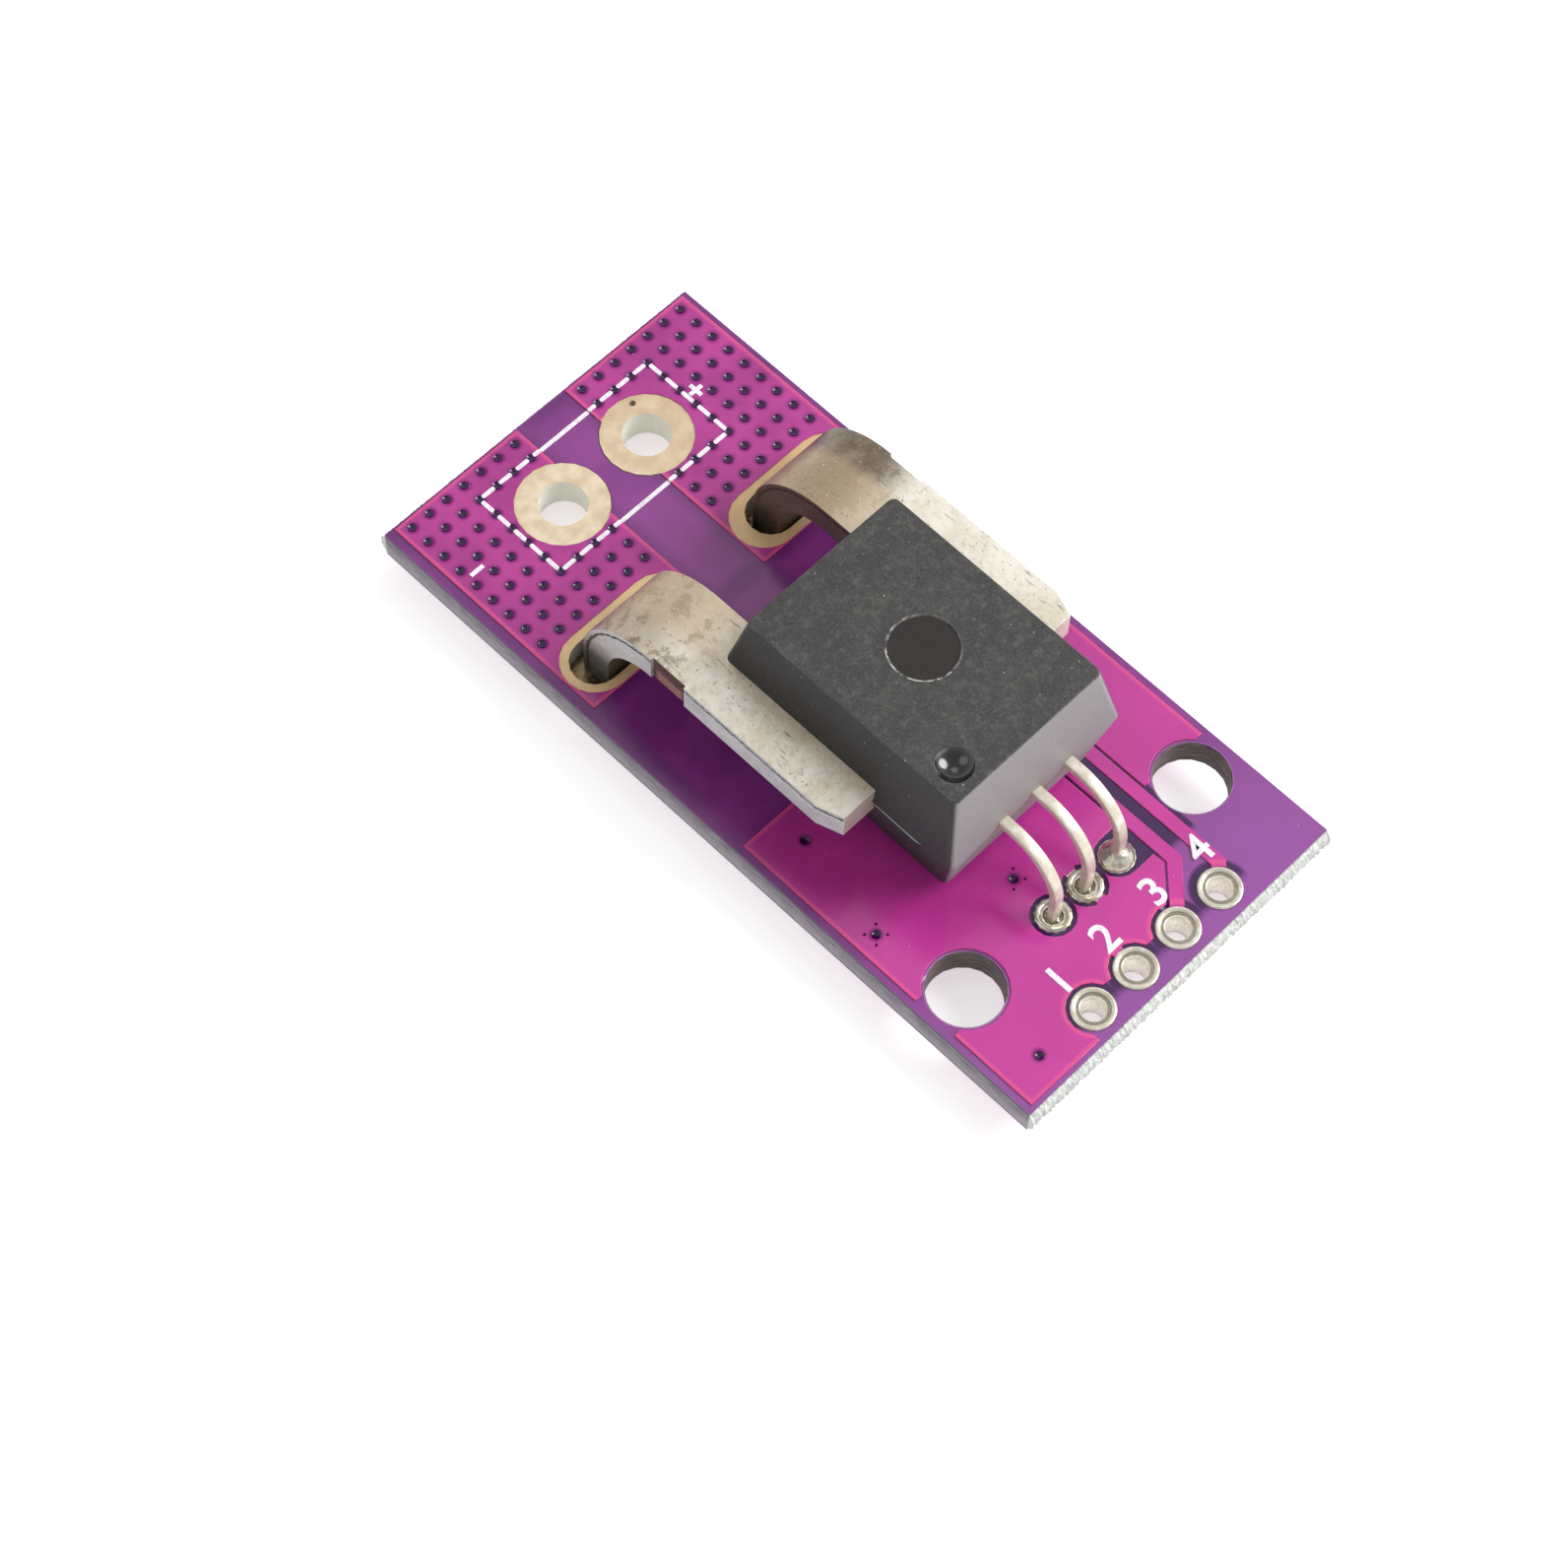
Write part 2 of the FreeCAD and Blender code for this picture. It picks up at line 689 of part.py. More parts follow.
def blade_solder(side, conductor):
    """Solder low in a slot and in a sloping foot under the board, round the blade."""
    fill = raised(slot_outline(side), copper_under, copper_under + slot_rise)
    spread = slot_foot_spread
    foot_top = slot_outline(side, spread, spread, spread)
    edges = sorted((side * (blade_inner - spread), side * (half_conductor + spread)))
    foot_tip = oblong(*edges, blade_inner_y - spread / 2, blade_outer_y + spread / 2)
    tip_level = copper_under - slot_foot_height
    return union([fill, tapered(foot_tip, tip_level, foot_top, copper_under)]).cut(conductor)


def lead_solder(place, top_height, lead_shape):
    """A sloping foot below, a filled hole, and a low ring or a dome above."""
    foot = disc(place, lead_pad_radius - foot_margin)
    tip_radius = math.hypot(lead_width, lead_thickness) / 2 + tip_margin
    sides = 2 * half_turn_sides(lead_pad_radius - foot_margin)
    tip = polygon(turn_points(*place, tip_radius, 0, 360, sides)[1:])
    pieces = [
        tapered(tip, copper_under - foot_height, foot, copper_under),
        raised(disc(place, lead_hole_radius), copper_under, copper_top),
        tapered(foot, copper_top, tip, copper_top + top_height),
    ]
    return union(pieces).cut(lead_shape)


net_names = ("copper_input", "copper_return", "copper_ground", "copper_supply", "copper_output")


def build():
    nets = {name: copper_net(name) for name in net_names}
    conductor, core = primary_conductor(), magnetic_core()
    lead_shapes = leads()
    chip = chip_block(lead_top + adhesive_thickness, chip_top)
    adhesive = chip_block(lead_top, lead_top + adhesive_thickness)
    wires = bond_wires([chip] + list(lead_shapes.values()))
    inside = [conductor, core, chip, adhesive, wires] + list(lead_shapes.values())
    parts = {
        "board_laminate": laminate(),
        "mask_top": solder_mask(True, list(nets.values())).cut(via_pits()),
        "mask_bottom": solder_mask(False, list(nets.values())),
        "silkscreen": printed_outline(),
        "sensor_body": sensor_body(inside),
        "primary_conductor": conductor,
        "magnetic_core": core,
        "hall_chip": chip,
        "chip_adhesive": adhesive,
        "bond_wires": wires,
        "blade_solder_return": blade_solder(-1, conductor),
        "blade_solder_input": blade_solder(1, conductor),
        "lead_solder_supply": lead_solder(supply_pin, ring_height, lead_shapes["lead_supply"]),
        "lead_solder_ground": lead_solder(ground_pin, ring_height, lead_shapes["lead_ground"]),
        "lead_solder_output": lead_solder(output_pin, dome_height, lead_shapes["lead_output"]),
    }
    parts.update(nets)
    parts.update(lead_shapes)
    os.makedirs("parts", exist_ok=True)
    for name, shape in parts.items():
        shape.exportStep("parts/" + name + ".step")


build()
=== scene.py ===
import json
import math
import random

import bmesh
import bpy
from mathutils import Matrix, Vector


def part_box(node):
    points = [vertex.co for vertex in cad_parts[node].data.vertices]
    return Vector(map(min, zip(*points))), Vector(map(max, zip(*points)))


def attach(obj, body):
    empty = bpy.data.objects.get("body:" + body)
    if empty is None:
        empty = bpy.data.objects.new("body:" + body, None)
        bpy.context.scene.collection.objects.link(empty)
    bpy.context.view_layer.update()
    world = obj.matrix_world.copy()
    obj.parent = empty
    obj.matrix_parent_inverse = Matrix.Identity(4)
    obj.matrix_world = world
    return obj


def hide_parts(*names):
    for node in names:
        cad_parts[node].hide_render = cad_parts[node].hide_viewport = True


# The looks of a current sensor on its circuit board.
# Sizes and places below are in millimetres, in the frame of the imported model.

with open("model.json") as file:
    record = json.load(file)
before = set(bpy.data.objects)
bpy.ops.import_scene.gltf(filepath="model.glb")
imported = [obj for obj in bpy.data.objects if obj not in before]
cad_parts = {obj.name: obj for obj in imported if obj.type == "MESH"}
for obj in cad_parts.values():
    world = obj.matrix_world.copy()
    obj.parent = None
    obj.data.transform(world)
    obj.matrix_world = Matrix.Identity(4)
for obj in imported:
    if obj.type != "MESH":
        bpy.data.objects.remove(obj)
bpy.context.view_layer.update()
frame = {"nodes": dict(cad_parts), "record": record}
nodes = frame["nodes"]
mounts = {mount["name"]: mount for mount in frame["record"]["mounts"]}
metre = 1000.0


def box_of(node):
    """Lowest and highest corner of a node, in millimetres."""
    low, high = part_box(node)
    return low * metre, high * metre


def mount_place(name):
    return Vector(mounts[name]["pos_m"]) * metre


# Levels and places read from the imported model
mask_high = box_of("mask_top")[1]
core_low, core_high = box_of("board_laminate")
body_low, body_high = box_of("sensor_body")
blade_high = box_of("primary_conductor")[1]
copper_low, copper_high = box_of("copper_ground")
pour_low, pour_high = box_of("copper_return")[0], box_of("copper_input")[1]
header_places = [mount_place(f"header_hole_{i}") for i in (1, 2, 3, 4)]
header_radius = mounts["header_hole_1"]["dims"]["r_mm"]
mount_radius = mounts["mounting_holes"]["dims"]["hole_r_mm"]
mount_spacing = mounts["mounting_holes"]["dims"]["spacing_x_mm"]
mount_y = mount_place("mounting_holes").y
screw_holes = [(sign * mount_spacing / 2, mount_y) for sign in (-1, 1)]
lead_names = ("lead_supply", "lead_ground", "lead_output")

mask_thickness = mask_high.z - copper_high.z
bare_level = core_high.z + mask_thickness
board_end = mask_high.y
body_centre = (body_low + body_high) / 2
parting = body_centre.z

# Print
label_size = 1.85
label_height = 0.02
label_y = -16.25
label_places = (-4.35, -1.65, 1.3, 4.05)
label_weight = 0.03
sign_places = ((5.6, 14.675), (-7.4, 14.675))
sign_reach = 0.36
sign_width = 0.2
dash_round = 0.07

# Sensor body
body_draft = math.radians(12)
body_corner = 0.32
body_round = 0.1
ejector_radius = 1.5
ejector_depth = 0.05
dimple_place = Vector((-2.96, -8.36))
dimple_radius = 0.8
dimple_depth = 0.38
flash_span = (-8.8, -5.3)

# Bent sheet of the current blades
blade_thickness = 1.5
outer_bend = 2.6 + blade_thickness
bend_axis_y = blade_high.y - outer_bend
bend_axis_z = blade_high.z - outer_bend
conductor_round = 0.16
edge_crease = 0.26
tie_cut = (2.63, 4.48)

# Signal leads and their solder
lead_round = 0.07
pin_ring_radius = 0.78
foot_radius = 0.72

# Pits over the vias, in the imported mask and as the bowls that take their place.
# The bowl's outline holds shares of its radius and of its depth.
pit_depth = 0.03
pit_sides = 6
bowl_radius = 0.42
bowl_depth = 0.036
bowl_outline = ((0.03, 1.0), (0.18, 0.98), (0.3, 0.86), (0.42, 0.6), (0.54, 0.3), (0.72, 0.1),
                (0.95, 0.02), (1.05, -0.02))
bowl_opening = 1.06
speck_radius = 0.1
specked_vias = {(-7.63, -9.05): ((1, 1), (1, -1), (-1, 1), (-1, -1)),
                (-1.87, -11.24): ((1, 1), (1, -1), (-1, -1))}
speck_reach = 0.33
speck_depth = 0.6 * bowl_depth

# Rounds of the mask where it drops from the copper to the board
step_round = 0.11
step_stretch = 3.0
step_merge = 0.045

# Copper
pour_split = (-1.38, 1.58)
pad_clearance = 1.18
pad_radius = 0.95
ring_pit = (3.18, 16.14)

# Torn ends of the board
score_depth = 0.45
fibre_count = 360
fibre_pull = 0.16
fibre_lift = 0.05

# Lamps: place and size in metres, power in watts
lamps = {
    "key": ((0.23, -0.165, 0.23), 0.25, 1.25),
    "sheen": ((0.15, 0.13, 0.36), 0.2, 0.12),
    "fill": ((-0.2, 0.12, 0.3), 0.25, 0.14),
}
lamp_target = (0, 0, 0.004)
floor_reach = 1.5

# Camera, from a fit of the board's corners, holes and pins
camera_place = Vector((-58.377, -50.343, 139.834))
camera_right = Vector((0.70347, -0.71047, 0.01930))
camera_up = Vector((0.62310, 0.62957, 0.46409))
camera_lens = 86.53
sensor_width = 36.0


def lead_place(name):
    """Middle of a lead's tip."""
    tip = [v.co * metre for v in nodes[name].data.vertices if v.co.z * metre < 0.01]
    return sum(tip, Vector()) / len(tip)


lead_places = {name: lead_place(name) for name in lead_names}
lead_roots = [(place.x, body_low.y) for place in lead_places.values()]


# Materials made of nodes
def rgb(red, green, blue):
    """A display colour, 0 to 255, as linear values."""
    values = [channel / 255 for channel in (red, green, blue)]
    linear = [v / 12.92 if v <= 0.04045 else ((v + 0.055) / 1.055) ** 2.4 for v in values]
    return (*linear, 1.0)


class Paint:
    """One material, with a short call for each kind of node."""

    def __init__(self, name, **settings):
        self.material = bpy.data.materials.new(name)
        self.material.use_nodes = True
        self.tree = self.material.node_tree
        self.shader = self.tree.nodes["Principled BSDF"]
        self.set(**settings)
        place = self.add("ShaderNodeTexCoord").outputs["Object"]
        self.place = self.vector("SCALE", place, scale=metre)
        self.x, self.y, self.z = self.split(self.place)
        self.normal = self.add("ShaderNodeNewGeometry").outputs["Normal"]

    def add(self, kind, **settings):
        node = self.tree.nodes.new(kind)
        for key, value in settings.items():
            setattr(node, key, value)
        return node

    def feed(self, socket, value):
        if isinstance(value, bpy.types.NodeSocket):
            self.tree.links.new(value, socket)
        else:
            socket.default_value = value

    def set(self, **settings):
        for key, value in settings.items():
            self.feed(self.shader.inputs[key.replace("_", " ")], value)

    def split(self, vector):
        node = self.add("ShaderNodeSeparateXYZ")
        self.feed(node.inputs[0], vector)
        return node.outputs[0], node.outputs[1], node.outputs[2]

    def vector(self, operation, first, second=(0, 0, 0), scale=1.0):
        node = self.add("ShaderNodeVectorMath", operation=operation)
        self.feed(node.inputs[0], first)
        self.feed(node.inputs[1], second)
        self.feed(node.inputs[3], scale)
        return node.outputs["Value" if operation == "DISTANCE" else "Vector"]

    def math(self, operation, first, second=0.0):
        node = self.add("ShaderNodeMath", operation=operation)
        self.feed(node.inputs[0], first)
        self.feed(node.inputs[1], second)
        return node.outputs[0]

    def step(self, value, low, high, start=0.0, end=1.0):
        """A smooth change from start to end while the value goes from low to high."""
        node = self.add("ShaderNodeMapRange", interpolation_type="SMOOTHSTEP")
        for socket, number in zip(node.inputs, (value, low, high, start, end)):
            self.feed(socket, number)
        return node.outputs[0]

    def noise(self, scale, detail=3.0, roughness=0.55, stretch=(1, 1, 1)):
        node = self.add("ShaderNodeTexNoise")
        self.feed(node.inputs["Vector"], self.vector("MULTIPLY", self.place, stretch))
        self.feed(node.inputs["Scale"], scale)
        self.feed(node.inputs["Detail"], detail)
        self.feed(node.inputs["Roughness"], roughness)
        return node.outputs["Fac"]

    def spots(self, scale, low, high):
        """Round spots, 1 at their middle, spread unevenly."""
        node = self.add("ShaderNodeTexVoronoi")
        self.feed(node.inputs["Vector"], self.place)
        self.feed(node.inputs["Scale"], scale)
        return self.step(node.outputs["Distance"], low, high, 1.0, 0.0)

    def mix(self, factor, first, second):
        node = self.add("ShaderNodeMix", data_type="RGBA")
        self.feed(node.inputs[0], factor)
        self.feed(node.inputs[6], first)
        self.feed(node.inputs[7], second)
        return node.outputs[2]

    def times(self, *factors):
        """The product of several values."""
        total = factors[0]
        for factor in factors[1:]:
            total = self.math("MULTIPLY", total, factor)
        return total

    def inverse(self, value):
        return self.math("SUBTRACT", 1.0, value)

    def within(self, value, low, high, soft):
        """1 while the value lies between two limits, with soft ends."""
        return self.times(self.step(value, low - soft, low), self.step(value, high + soft, high))

    def marked(self, name):
        """A value that the mesh holds at its corners."""
        return self.add("ShaderNodeAttribute", attribute_name=name).outputs["Fac"]

    def flat_distance(self, *centres):
        """Distance from the nearest of some upright axes through points of the board."""
        flat = self.vector("MULTIPLY", self.place, (1, 1, 0))
        nearest = None
        for centre in centres:
            away = self.vector("DISTANCE", flat, (centre[0], centre[1], 0))
            nearest = away if nearest is None else self.math("MINIMUM", nearest, away)
        return nearest

    def away(self, value, *places):
        """Distance of a value from the nearest of some places."""
        nearest = None
        for place in places:
            gap = self.math("ABSOLUTE", self.math("SUBTRACT", value, place))
            nearest = gap if nearest is None else self.math("MINIMUM", nearest, gap)
        return nearest

    def bump(self, height, depth, below=None):
        """Relief of so many millimetres, on top of the relief below."""
        node = self.add("ShaderNodeBump")
        self.feed(node.inputs["Strength"], 1.0)
        self.feed(node.inputs["Distance"], depth / metre)
        self.feed(node.inputs["Height"], height)
        if below is not None:
            self.feed(node.inputs["Normal"], below)
        return node.outputs[0]


def bare_mask(paint, cloud):
    """Violet mask on bare board, with painted light making it paler near the header and between the
    pours, and painted shade darkest in narrow gaps of the copper.
    """
    colour = paint.mix(paint.step(cloud, 0.35, 0.65), rgb(116, 40, 120), rgb(136, 54, 136))
    # Painted light: the bare mask paler towards the header.
    to_header = paint.step(paint.y, -9.0, -17.0)
    colour = paint.mix(paint.times(to_header, 0.7), colour, rgb(148, 82, 158))
    # Painted light: the bare mask brighter between the pours, behind the body.
    between_pours = paint.times(paint.step(paint.math("ABSOLUTE", paint.x), 2.6, 1.4),
                                paint.step(paint.y, 1.0, 6.0),
                                paint.step(paint.y, 15.0, 9.0, 0.3, 1.0))
    colour = paint.mix(paint.times(between_pours, 0.6), colour, rgb(156, 72, 152))
    # Painted shade: darkest in the narrow gaps of the copper round the pads and pins and beside the
    # tracks.
    from_pads = paint.flat_distance(*header_places, *lead_places.values())
    round_pads = paint.times(paint.step(from_pads, 1.42, 1.2), paint.step(paint.y, -18.0, -17.4))
    by_tracks = paint.times(paint.within(paint.x, 2.6, 5.2, 0.1), paint.within(paint.y, -14.6, -3.0, 0.4))
    return paint.mix(paint.math("MAXIMUM", round_pads, by_tracks), colour, rgb(58, 14, 78))


def coppered_mask(paint, cloud, grain):
    """Magenta mask on copper, with painted light making it brighter towards the header."""
    colour = paint.mix(paint.step(cloud, 0.35, 0.65), rgb(160, 43, 130), rgb(180, 53, 144))
    colour = paint.mix(paint.step(grain, 0.45, 0.75, 0.0, 0.3), colour, rgb(150, 34, 126))
    # Painted light: brighter magenta towards the header.
    return paint.mix(paint.times(paint.step(paint.y, 6.0, -15.0), 0.6), colour, rgb(206, 60, 158))


def edge_distances(paint):
    """Distances from the edges of the two pours and from those of the ground copper."""
    pours = paint.math("MINIMUM", paint.away(paint.x, pour_low.x, *pour_split, pour_high.x),
                       paint.away(paint.y, pour_low.y, pour_high.y))
    ground = paint.math("MINIMUM", paint.away(paint.x, copper_low.x, copper_high.x),
                        paint.away(paint.y, copper_low.y, copper_high.y))
    round_pads = paint.away(paint.flat_distance(*header_places), pad_clearance)
    return pours, paint.math("MINIMUM", ground, round_pads)


def solder_mask():
    """Glossy mask: violet on bare board, magenta on copper, with a painted pink highlight along the
    copper's edges and painted shade beside them and round the vias.
    """
    paint = Paint("solder_mask")
    cloud, grain = paint.noise(0.3, 2.0), paint.noise(2.2, 4.0)
    over_copper = paint.step(paint.z, bare_level + 0.008, bare_level + 0.022)
    under_board = paint.step(paint.z, core_low.z + 0.02, core_low.z - 0.005)
    colour = paint.mix(paint.math("MAXIMUM", over_copper, under_board),
                       bare_mask(paint, cloud), coppered_mask(paint, cloud, grain))

    pours, ground = edge_distances(paint)
    # Painted highlight: a pink line where the mask rounds over the copper's edges.
    by_pours = paint.step(paint.y, -1.0, 1.0)
    at_edge = paint.math("ADD", paint.times(paint.step(pours, 0.2, 0.04), by_pours),
                         paint.times(paint.step(ground, 0.2, 0.04), paint.inverse(by_pours)))
    line = paint.math("MAXIMUM", paint.times(paint.marked("shoulder"), 1.4),
                      paint.times(at_edge, over_copper))
    colour = paint.mix(paint.times(line, 0.46), colour, rgb(240, 92, 136))
    # Painted shade on the bare board beside the pours' edges.
    beside = paint.times(paint.step(pours, 0.8, 0.1), by_pours,
                         paint.step(paint.z, bare_level + 0.02, bare_level), paint.inverse(under_board))
    colour = paint.mix(paint.times(beside, 0.4), colour, rgb(74, 24, 92))
    rim = paint.within(paint.flat_distance(*screw_holes), mount_radius, mount_radius + 0.06, 0.03)
    rim = paint.times(rim, paint.step(cloud, 0.4, 0.6, 0.4, 0.9), 0.6)
    colour = paint.mix(rim, colour, rgb(186, 150, 190))
    up = paint.math("ABSOLUTE", paint.split(paint.normal)[2])
    lower_side = paint.times(under_board, paint.step(up, 0.6, 0.3))
    colour = paint.mix(lower_side, colour, rgb(84, 52, 92))

    bowl = paint.marked("bowl")
    # Round each via a darker halo, painted shade of the shallow bowl, and a dark dot over the hole that
    # is partly the hole's own dark and partly painted shade.
    colour = paint.mix(paint.step(bowl, 0.02, 0.4, 0.0, 0.6), colour, rgb(122, 22, 108))
    colour = paint.mix(paint.step(bowl, 0.42, 0.54), colour, rgb(52, 2, 66))
    specks = paint.times(paint.spots(1.1, 0.02, 0.05), paint.step(grain, 0.5, 0.6))
    colour = paint.mix(paint.times(specks, 0.6), colour, rgb(216, 170, 220))
    ripple = paint.bump(paint.noise(1.4, 2.0), 0.003)
    from_centre = paint.math("MINIMUM", paint.times(paint.inverse(bowl), 2.0), 1.0)
    dent = paint.bump(paint.times(from_centre, from_centre), 0.065, ripple)
    paint.set(Specular_IOR_Level=paint.step(bowl, 0.44, 0.54, 0.34, 0.55))
    paint.set(Roughness=paint.step(bowl, 0.3, 0.5, 0.16, 0.12))
    paint.set(Base_Color=colour, Normal=paint.bump(paint.noise(9.0, 2.0), 0.0006, dent))
    return paint.material


def tan_plating():
    """Tinned copper of the wide rings, warm and mottled, with pale walls in the holes."""
    paint = Paint("tan_plating", Metallic=0.35)
    mottle, fine = paint.noise(1.5, 5.0, 0.6), paint.noise(6.0, 4.0, 0.65)
    face = paint.mix(paint.step(mottle, 0.35, 0.65), rgb(222, 200, 168), rgb(240, 224, 196))
    face = paint.mix(paint.step(fine, 0.5, 0.75, 0.0, 0.45), face, rgb(200, 170, 132))
    gold = paint.times(paint.step(paint.y, 10.4, 9.8), paint.step(mottle, 0.3, 0.6, 0.35, 0.9))
    face = paint.mix(gold, face, rgb(232, 194, 138))
    # Painted shade: the right ring darker.
    face = paint.mix(paint.step(paint.x, -1.0, 3.0, 0.0, 0.4), face, rgb(200, 166, 124))
    from_pit = paint.flat_distance(ring_pit)
    upper = paint.step(paint.z, core_low.z, core_high.z)
    face = paint.mix(paint.times(paint.step(from_pit, 0.2, 0.08, 0.0, 0.9), upper), face, rgb(70, 58, 34))
    up = paint.math("ABSOLUTE", paint.split(paint.normal)[2])
    colour = paint.mix(paint.step(up, 0.3, 0.8), rgb(240, 241, 230), face)
    paint.set(Base_Color=colour, Roughness=paint.step(mottle, 0.3, 0.7, 0.5, 0.38))
    pit = paint.bump(paint.times(paint.step(from_pit, 0.16, 0.04), upper), -0.1)
    paint.set(Normal=paint.bump(fine, 0.008, pit))
    return paint.material


def pad_tin():
    """Tin that was flowed on a pad and left slightly uneven."""
    paint = Paint("pad_tin", Metallic=0.55)
    mottle = paint.noise(3.0, 4.0, 0.6)
    colour = paint.mix(paint.step(mottle, 0.35, 0.7), rgb(208, 202, 182), rgb(240, 236, 224))
    from_hole = paint.flat_distance(*header_places)
    groove = paint.within(from_hole, header_radius + 0.05, header_radius + 0.16, 0.05)
    top = paint.step(paint.z, copper_high.z - 0.02, copper_high.z)
    colour = paint.mix(paint.times(groove, top, 0.75), colour, rgb(106, 98, 78))
    # Painted light: the walls in the holes lighter than the tin on the pad.
    wall = paint.times(paint.step(from_hole, header_radius + 0.03, header_radius),
                       paint.step(paint.z, copper_low.z, core_low.z + 0.2))
    colour = paint.mix(wall, colour, rgb(250, 247, 236))
    paint.set(Base_Color=colour, Roughness=paint.step(mottle, 0.3, 0.7, 0.34, 0.2))
    paint.set(Normal=paint.bump(paint.noise(4.0, 3.0), 0.012))
    return paint.material


def sheet_depth(paint):
    """How deep a point lies under the bent sheet's outer face. The bend's axis runs along X."""
    across_y = paint.math("MAXIMUM", paint.math("SUBTRACT", paint.y, bend_axis_y), 0.0)
    across_z = paint.math("MAXIMUM", paint.math("SUBTRACT", paint.z, bend_axis_z), 0.0)
    squares = paint.math("ADD", paint.times(across_y, across_y), paint.times(across_z, across_z))
    return paint.math("SUBTRACT", outer_bend, paint.math("SQRT", squares))


def worn_tin(paint, wide, fine):
    """Pale tin with painted shade round the bends, darkest round the right bend, and browner beside the
    body.
    """
    # Painted shade round the bends of the blades, darkest at the right bend.
    bent = paint.step(paint.y, bend_axis_y - 1.6, bend_axis_y + 2.6)
    right_bend_shade = paint.times(paint.step(paint.y, bend_axis_y - 2.3, bend_axis_y + 0.2),
                             paint.step(paint.x, -1.0, 1.0), paint.step(wide, 0.3, 0.55, 0.6, 1.0))
    stains = paint.times(paint.step(paint.noise(1.3, 5.0, 0.7), 0.5, 0.62),
                         paint.step(paint.y, bend_axis_y - 3.0, bend_axis_y))
    near_body = paint.step(paint.math("ABSOLUTE", paint.x), 5.9, 5.0)
    colour = paint.mix(paint.step(wide, 0.35, 0.65), rgb(232, 222, 202), rgb(248, 242, 230))
    colour = paint.mix(paint.times(bent, 0.8), colour, rgb(160, 140, 116))
    colour = paint.mix(paint.times(right_bend_shade, 0.88), colour, rgb(92, 74, 56))
    colour = paint.mix(paint.step(fine, 0.46, 0.74, 0.0, 0.3), colour, rgb(170, 154, 130))
    colour = paint.mix(paint.times(stains, 0.6), colour, rgb(104, 82, 58))
    return paint.mix(paint.times(near_body, 0.5), colour, rgb(206, 184, 148))


def sheared_sides(paint, colour, wide, sideways):
    """Grey cut faces on the outer sides of the blades, and painted shade on the inner sides."""
    from_middle = paint.math("ABSOLUTE", paint.x)
    sheared = paint.mix(paint.step(wide, 0.35, 0.6), rgb(188, 187, 190), rgb(212, 210, 210))
    colour = paint.mix(paint.times(sideways, paint.step(from_middle, 6.4, 6.7)), colour, sheared)
    # Painted shade on the inner sides of the blades.
    inner = paint.times(sideways, paint.step(from_middle, 3.4, 3.1), 0.85)
    return paint.mix(inner, colour, rgb(92, 78, 74))


def torn_cut(paint, colour, depth, sideways):
    """Brown torn metal where the tie between the blades and their frame was cut."""
    cut = paint.times(paint.within(paint.y, tie_cut[0], tie_cut[1], 0.05), sideways,
                      paint.step(paint.math("ABSOLUTE", paint.x), 6.5, 6.7))
    middle = (tie_cut[0] + tie_cut[1]) / 2
    torn = paint.mix(paint.step(depth, 0.6, 1.0), rgb(78, 40, 32), rgb(156, 108, 98))
    torn = paint.mix(paint.step(paint.away(paint.y, middle), 0.62, 0.84), torn, rgb(52, 34, 30))
    return paint.mix(cut, colour, torn)


def blade_tin():
    """Matt tin on stamped copper: worn, scratched and pitted, brown where the copper shows."""
    paint = Paint("blade_tin", Metallic=0.32)
    wide, fine = paint.noise(0.5, 5.0, 0.6), paint.noise(3.6, 5.0, 0.65)
    sideways = paint.step(paint.math("ABSOLUTE", paint.split(paint.normal)[0]), 0.6, 0.85)
    colour = sheared_sides(paint, worn_tin(paint, wide, fine), wide, sideways)
    marks = paint.step(paint.noise(1.0, 6.0, 0.7, stretch=(6, 0.7, 6)), 0.61, 0.67)
    colour = paint.mix(paint.times(marks, 0.5), colour, rgb(104, 88, 72))
    pits = paint.times(paint.spots(1.9, 0.03, 0.12), paint.step(fine, 0.42, 0.52))
    colour = paint.mix(paint.times(pits, 0.6), colour, rgb(110, 94, 74))
    grains = paint.times(paint.spots(2.7, 0.05, 0.14), paint.step(wide, 0.4, 0.5))
    colour = paint.mix(grains, colour, rgb(250, 248, 240))
    depth = paint.math("ADD", sheet_depth(paint), paint.step(fine, 0.2, 0.8, -0.08, 0.08))
    crease = paint.times(paint.within(depth, edge_crease - 0.04, edge_crease + 0.04, 0.04), sideways,
                         paint.step(wide, 0.3, 0.42, 0.5, 1.0))
    colour = paint.mix(paint.times(crease, 0.9), colour, rgb(46, 38, 34))
    colour = torn_cut(paint, colour, depth, sideways)
    near_board = paint.times(paint.step(paint.z, 5.2, mask_high.z + 0.4),
                             paint.step(wide, 0.25, 0.5, 0.5, 1.0), 0.85)
    colour = paint.mix(near_board, colour, rgb(62, 50, 38))
    relief = paint.bump(fine, 0.034)
    relief = paint.bump(pits, -0.04, relief)
    relief = paint.bump(grains, 0.05, relief)
    relief = paint.bump(crease, -0.06, relief)
    paint.set(Base_Color=colour, Roughness=paint.step(fine, 0.3, 0.7, 0.28, 0.42))
    paint.set(Normal=paint.bump(marks, -0.014, relief))
    return paint.material


def lead_tin():
    """Ivory tin on the thin signal leads."""
    paint = Paint("lead_tin", Metallic=0.4)
    mottle = paint.noise(2.5, 4.0, 0.6)
    colour = paint.mix(paint.step(mottle, 0.4, 0.7), rgb(216, 208, 188), rgb(238, 232, 218))
    paint.set(Base_Color=colour, Roughness=paint.step(mottle, 0.3, 0.7, 0.42, 0.3))
    paint.set(Normal=paint.bump(paint.noise(7.0, 4.0), 0.006))
    return paint.material


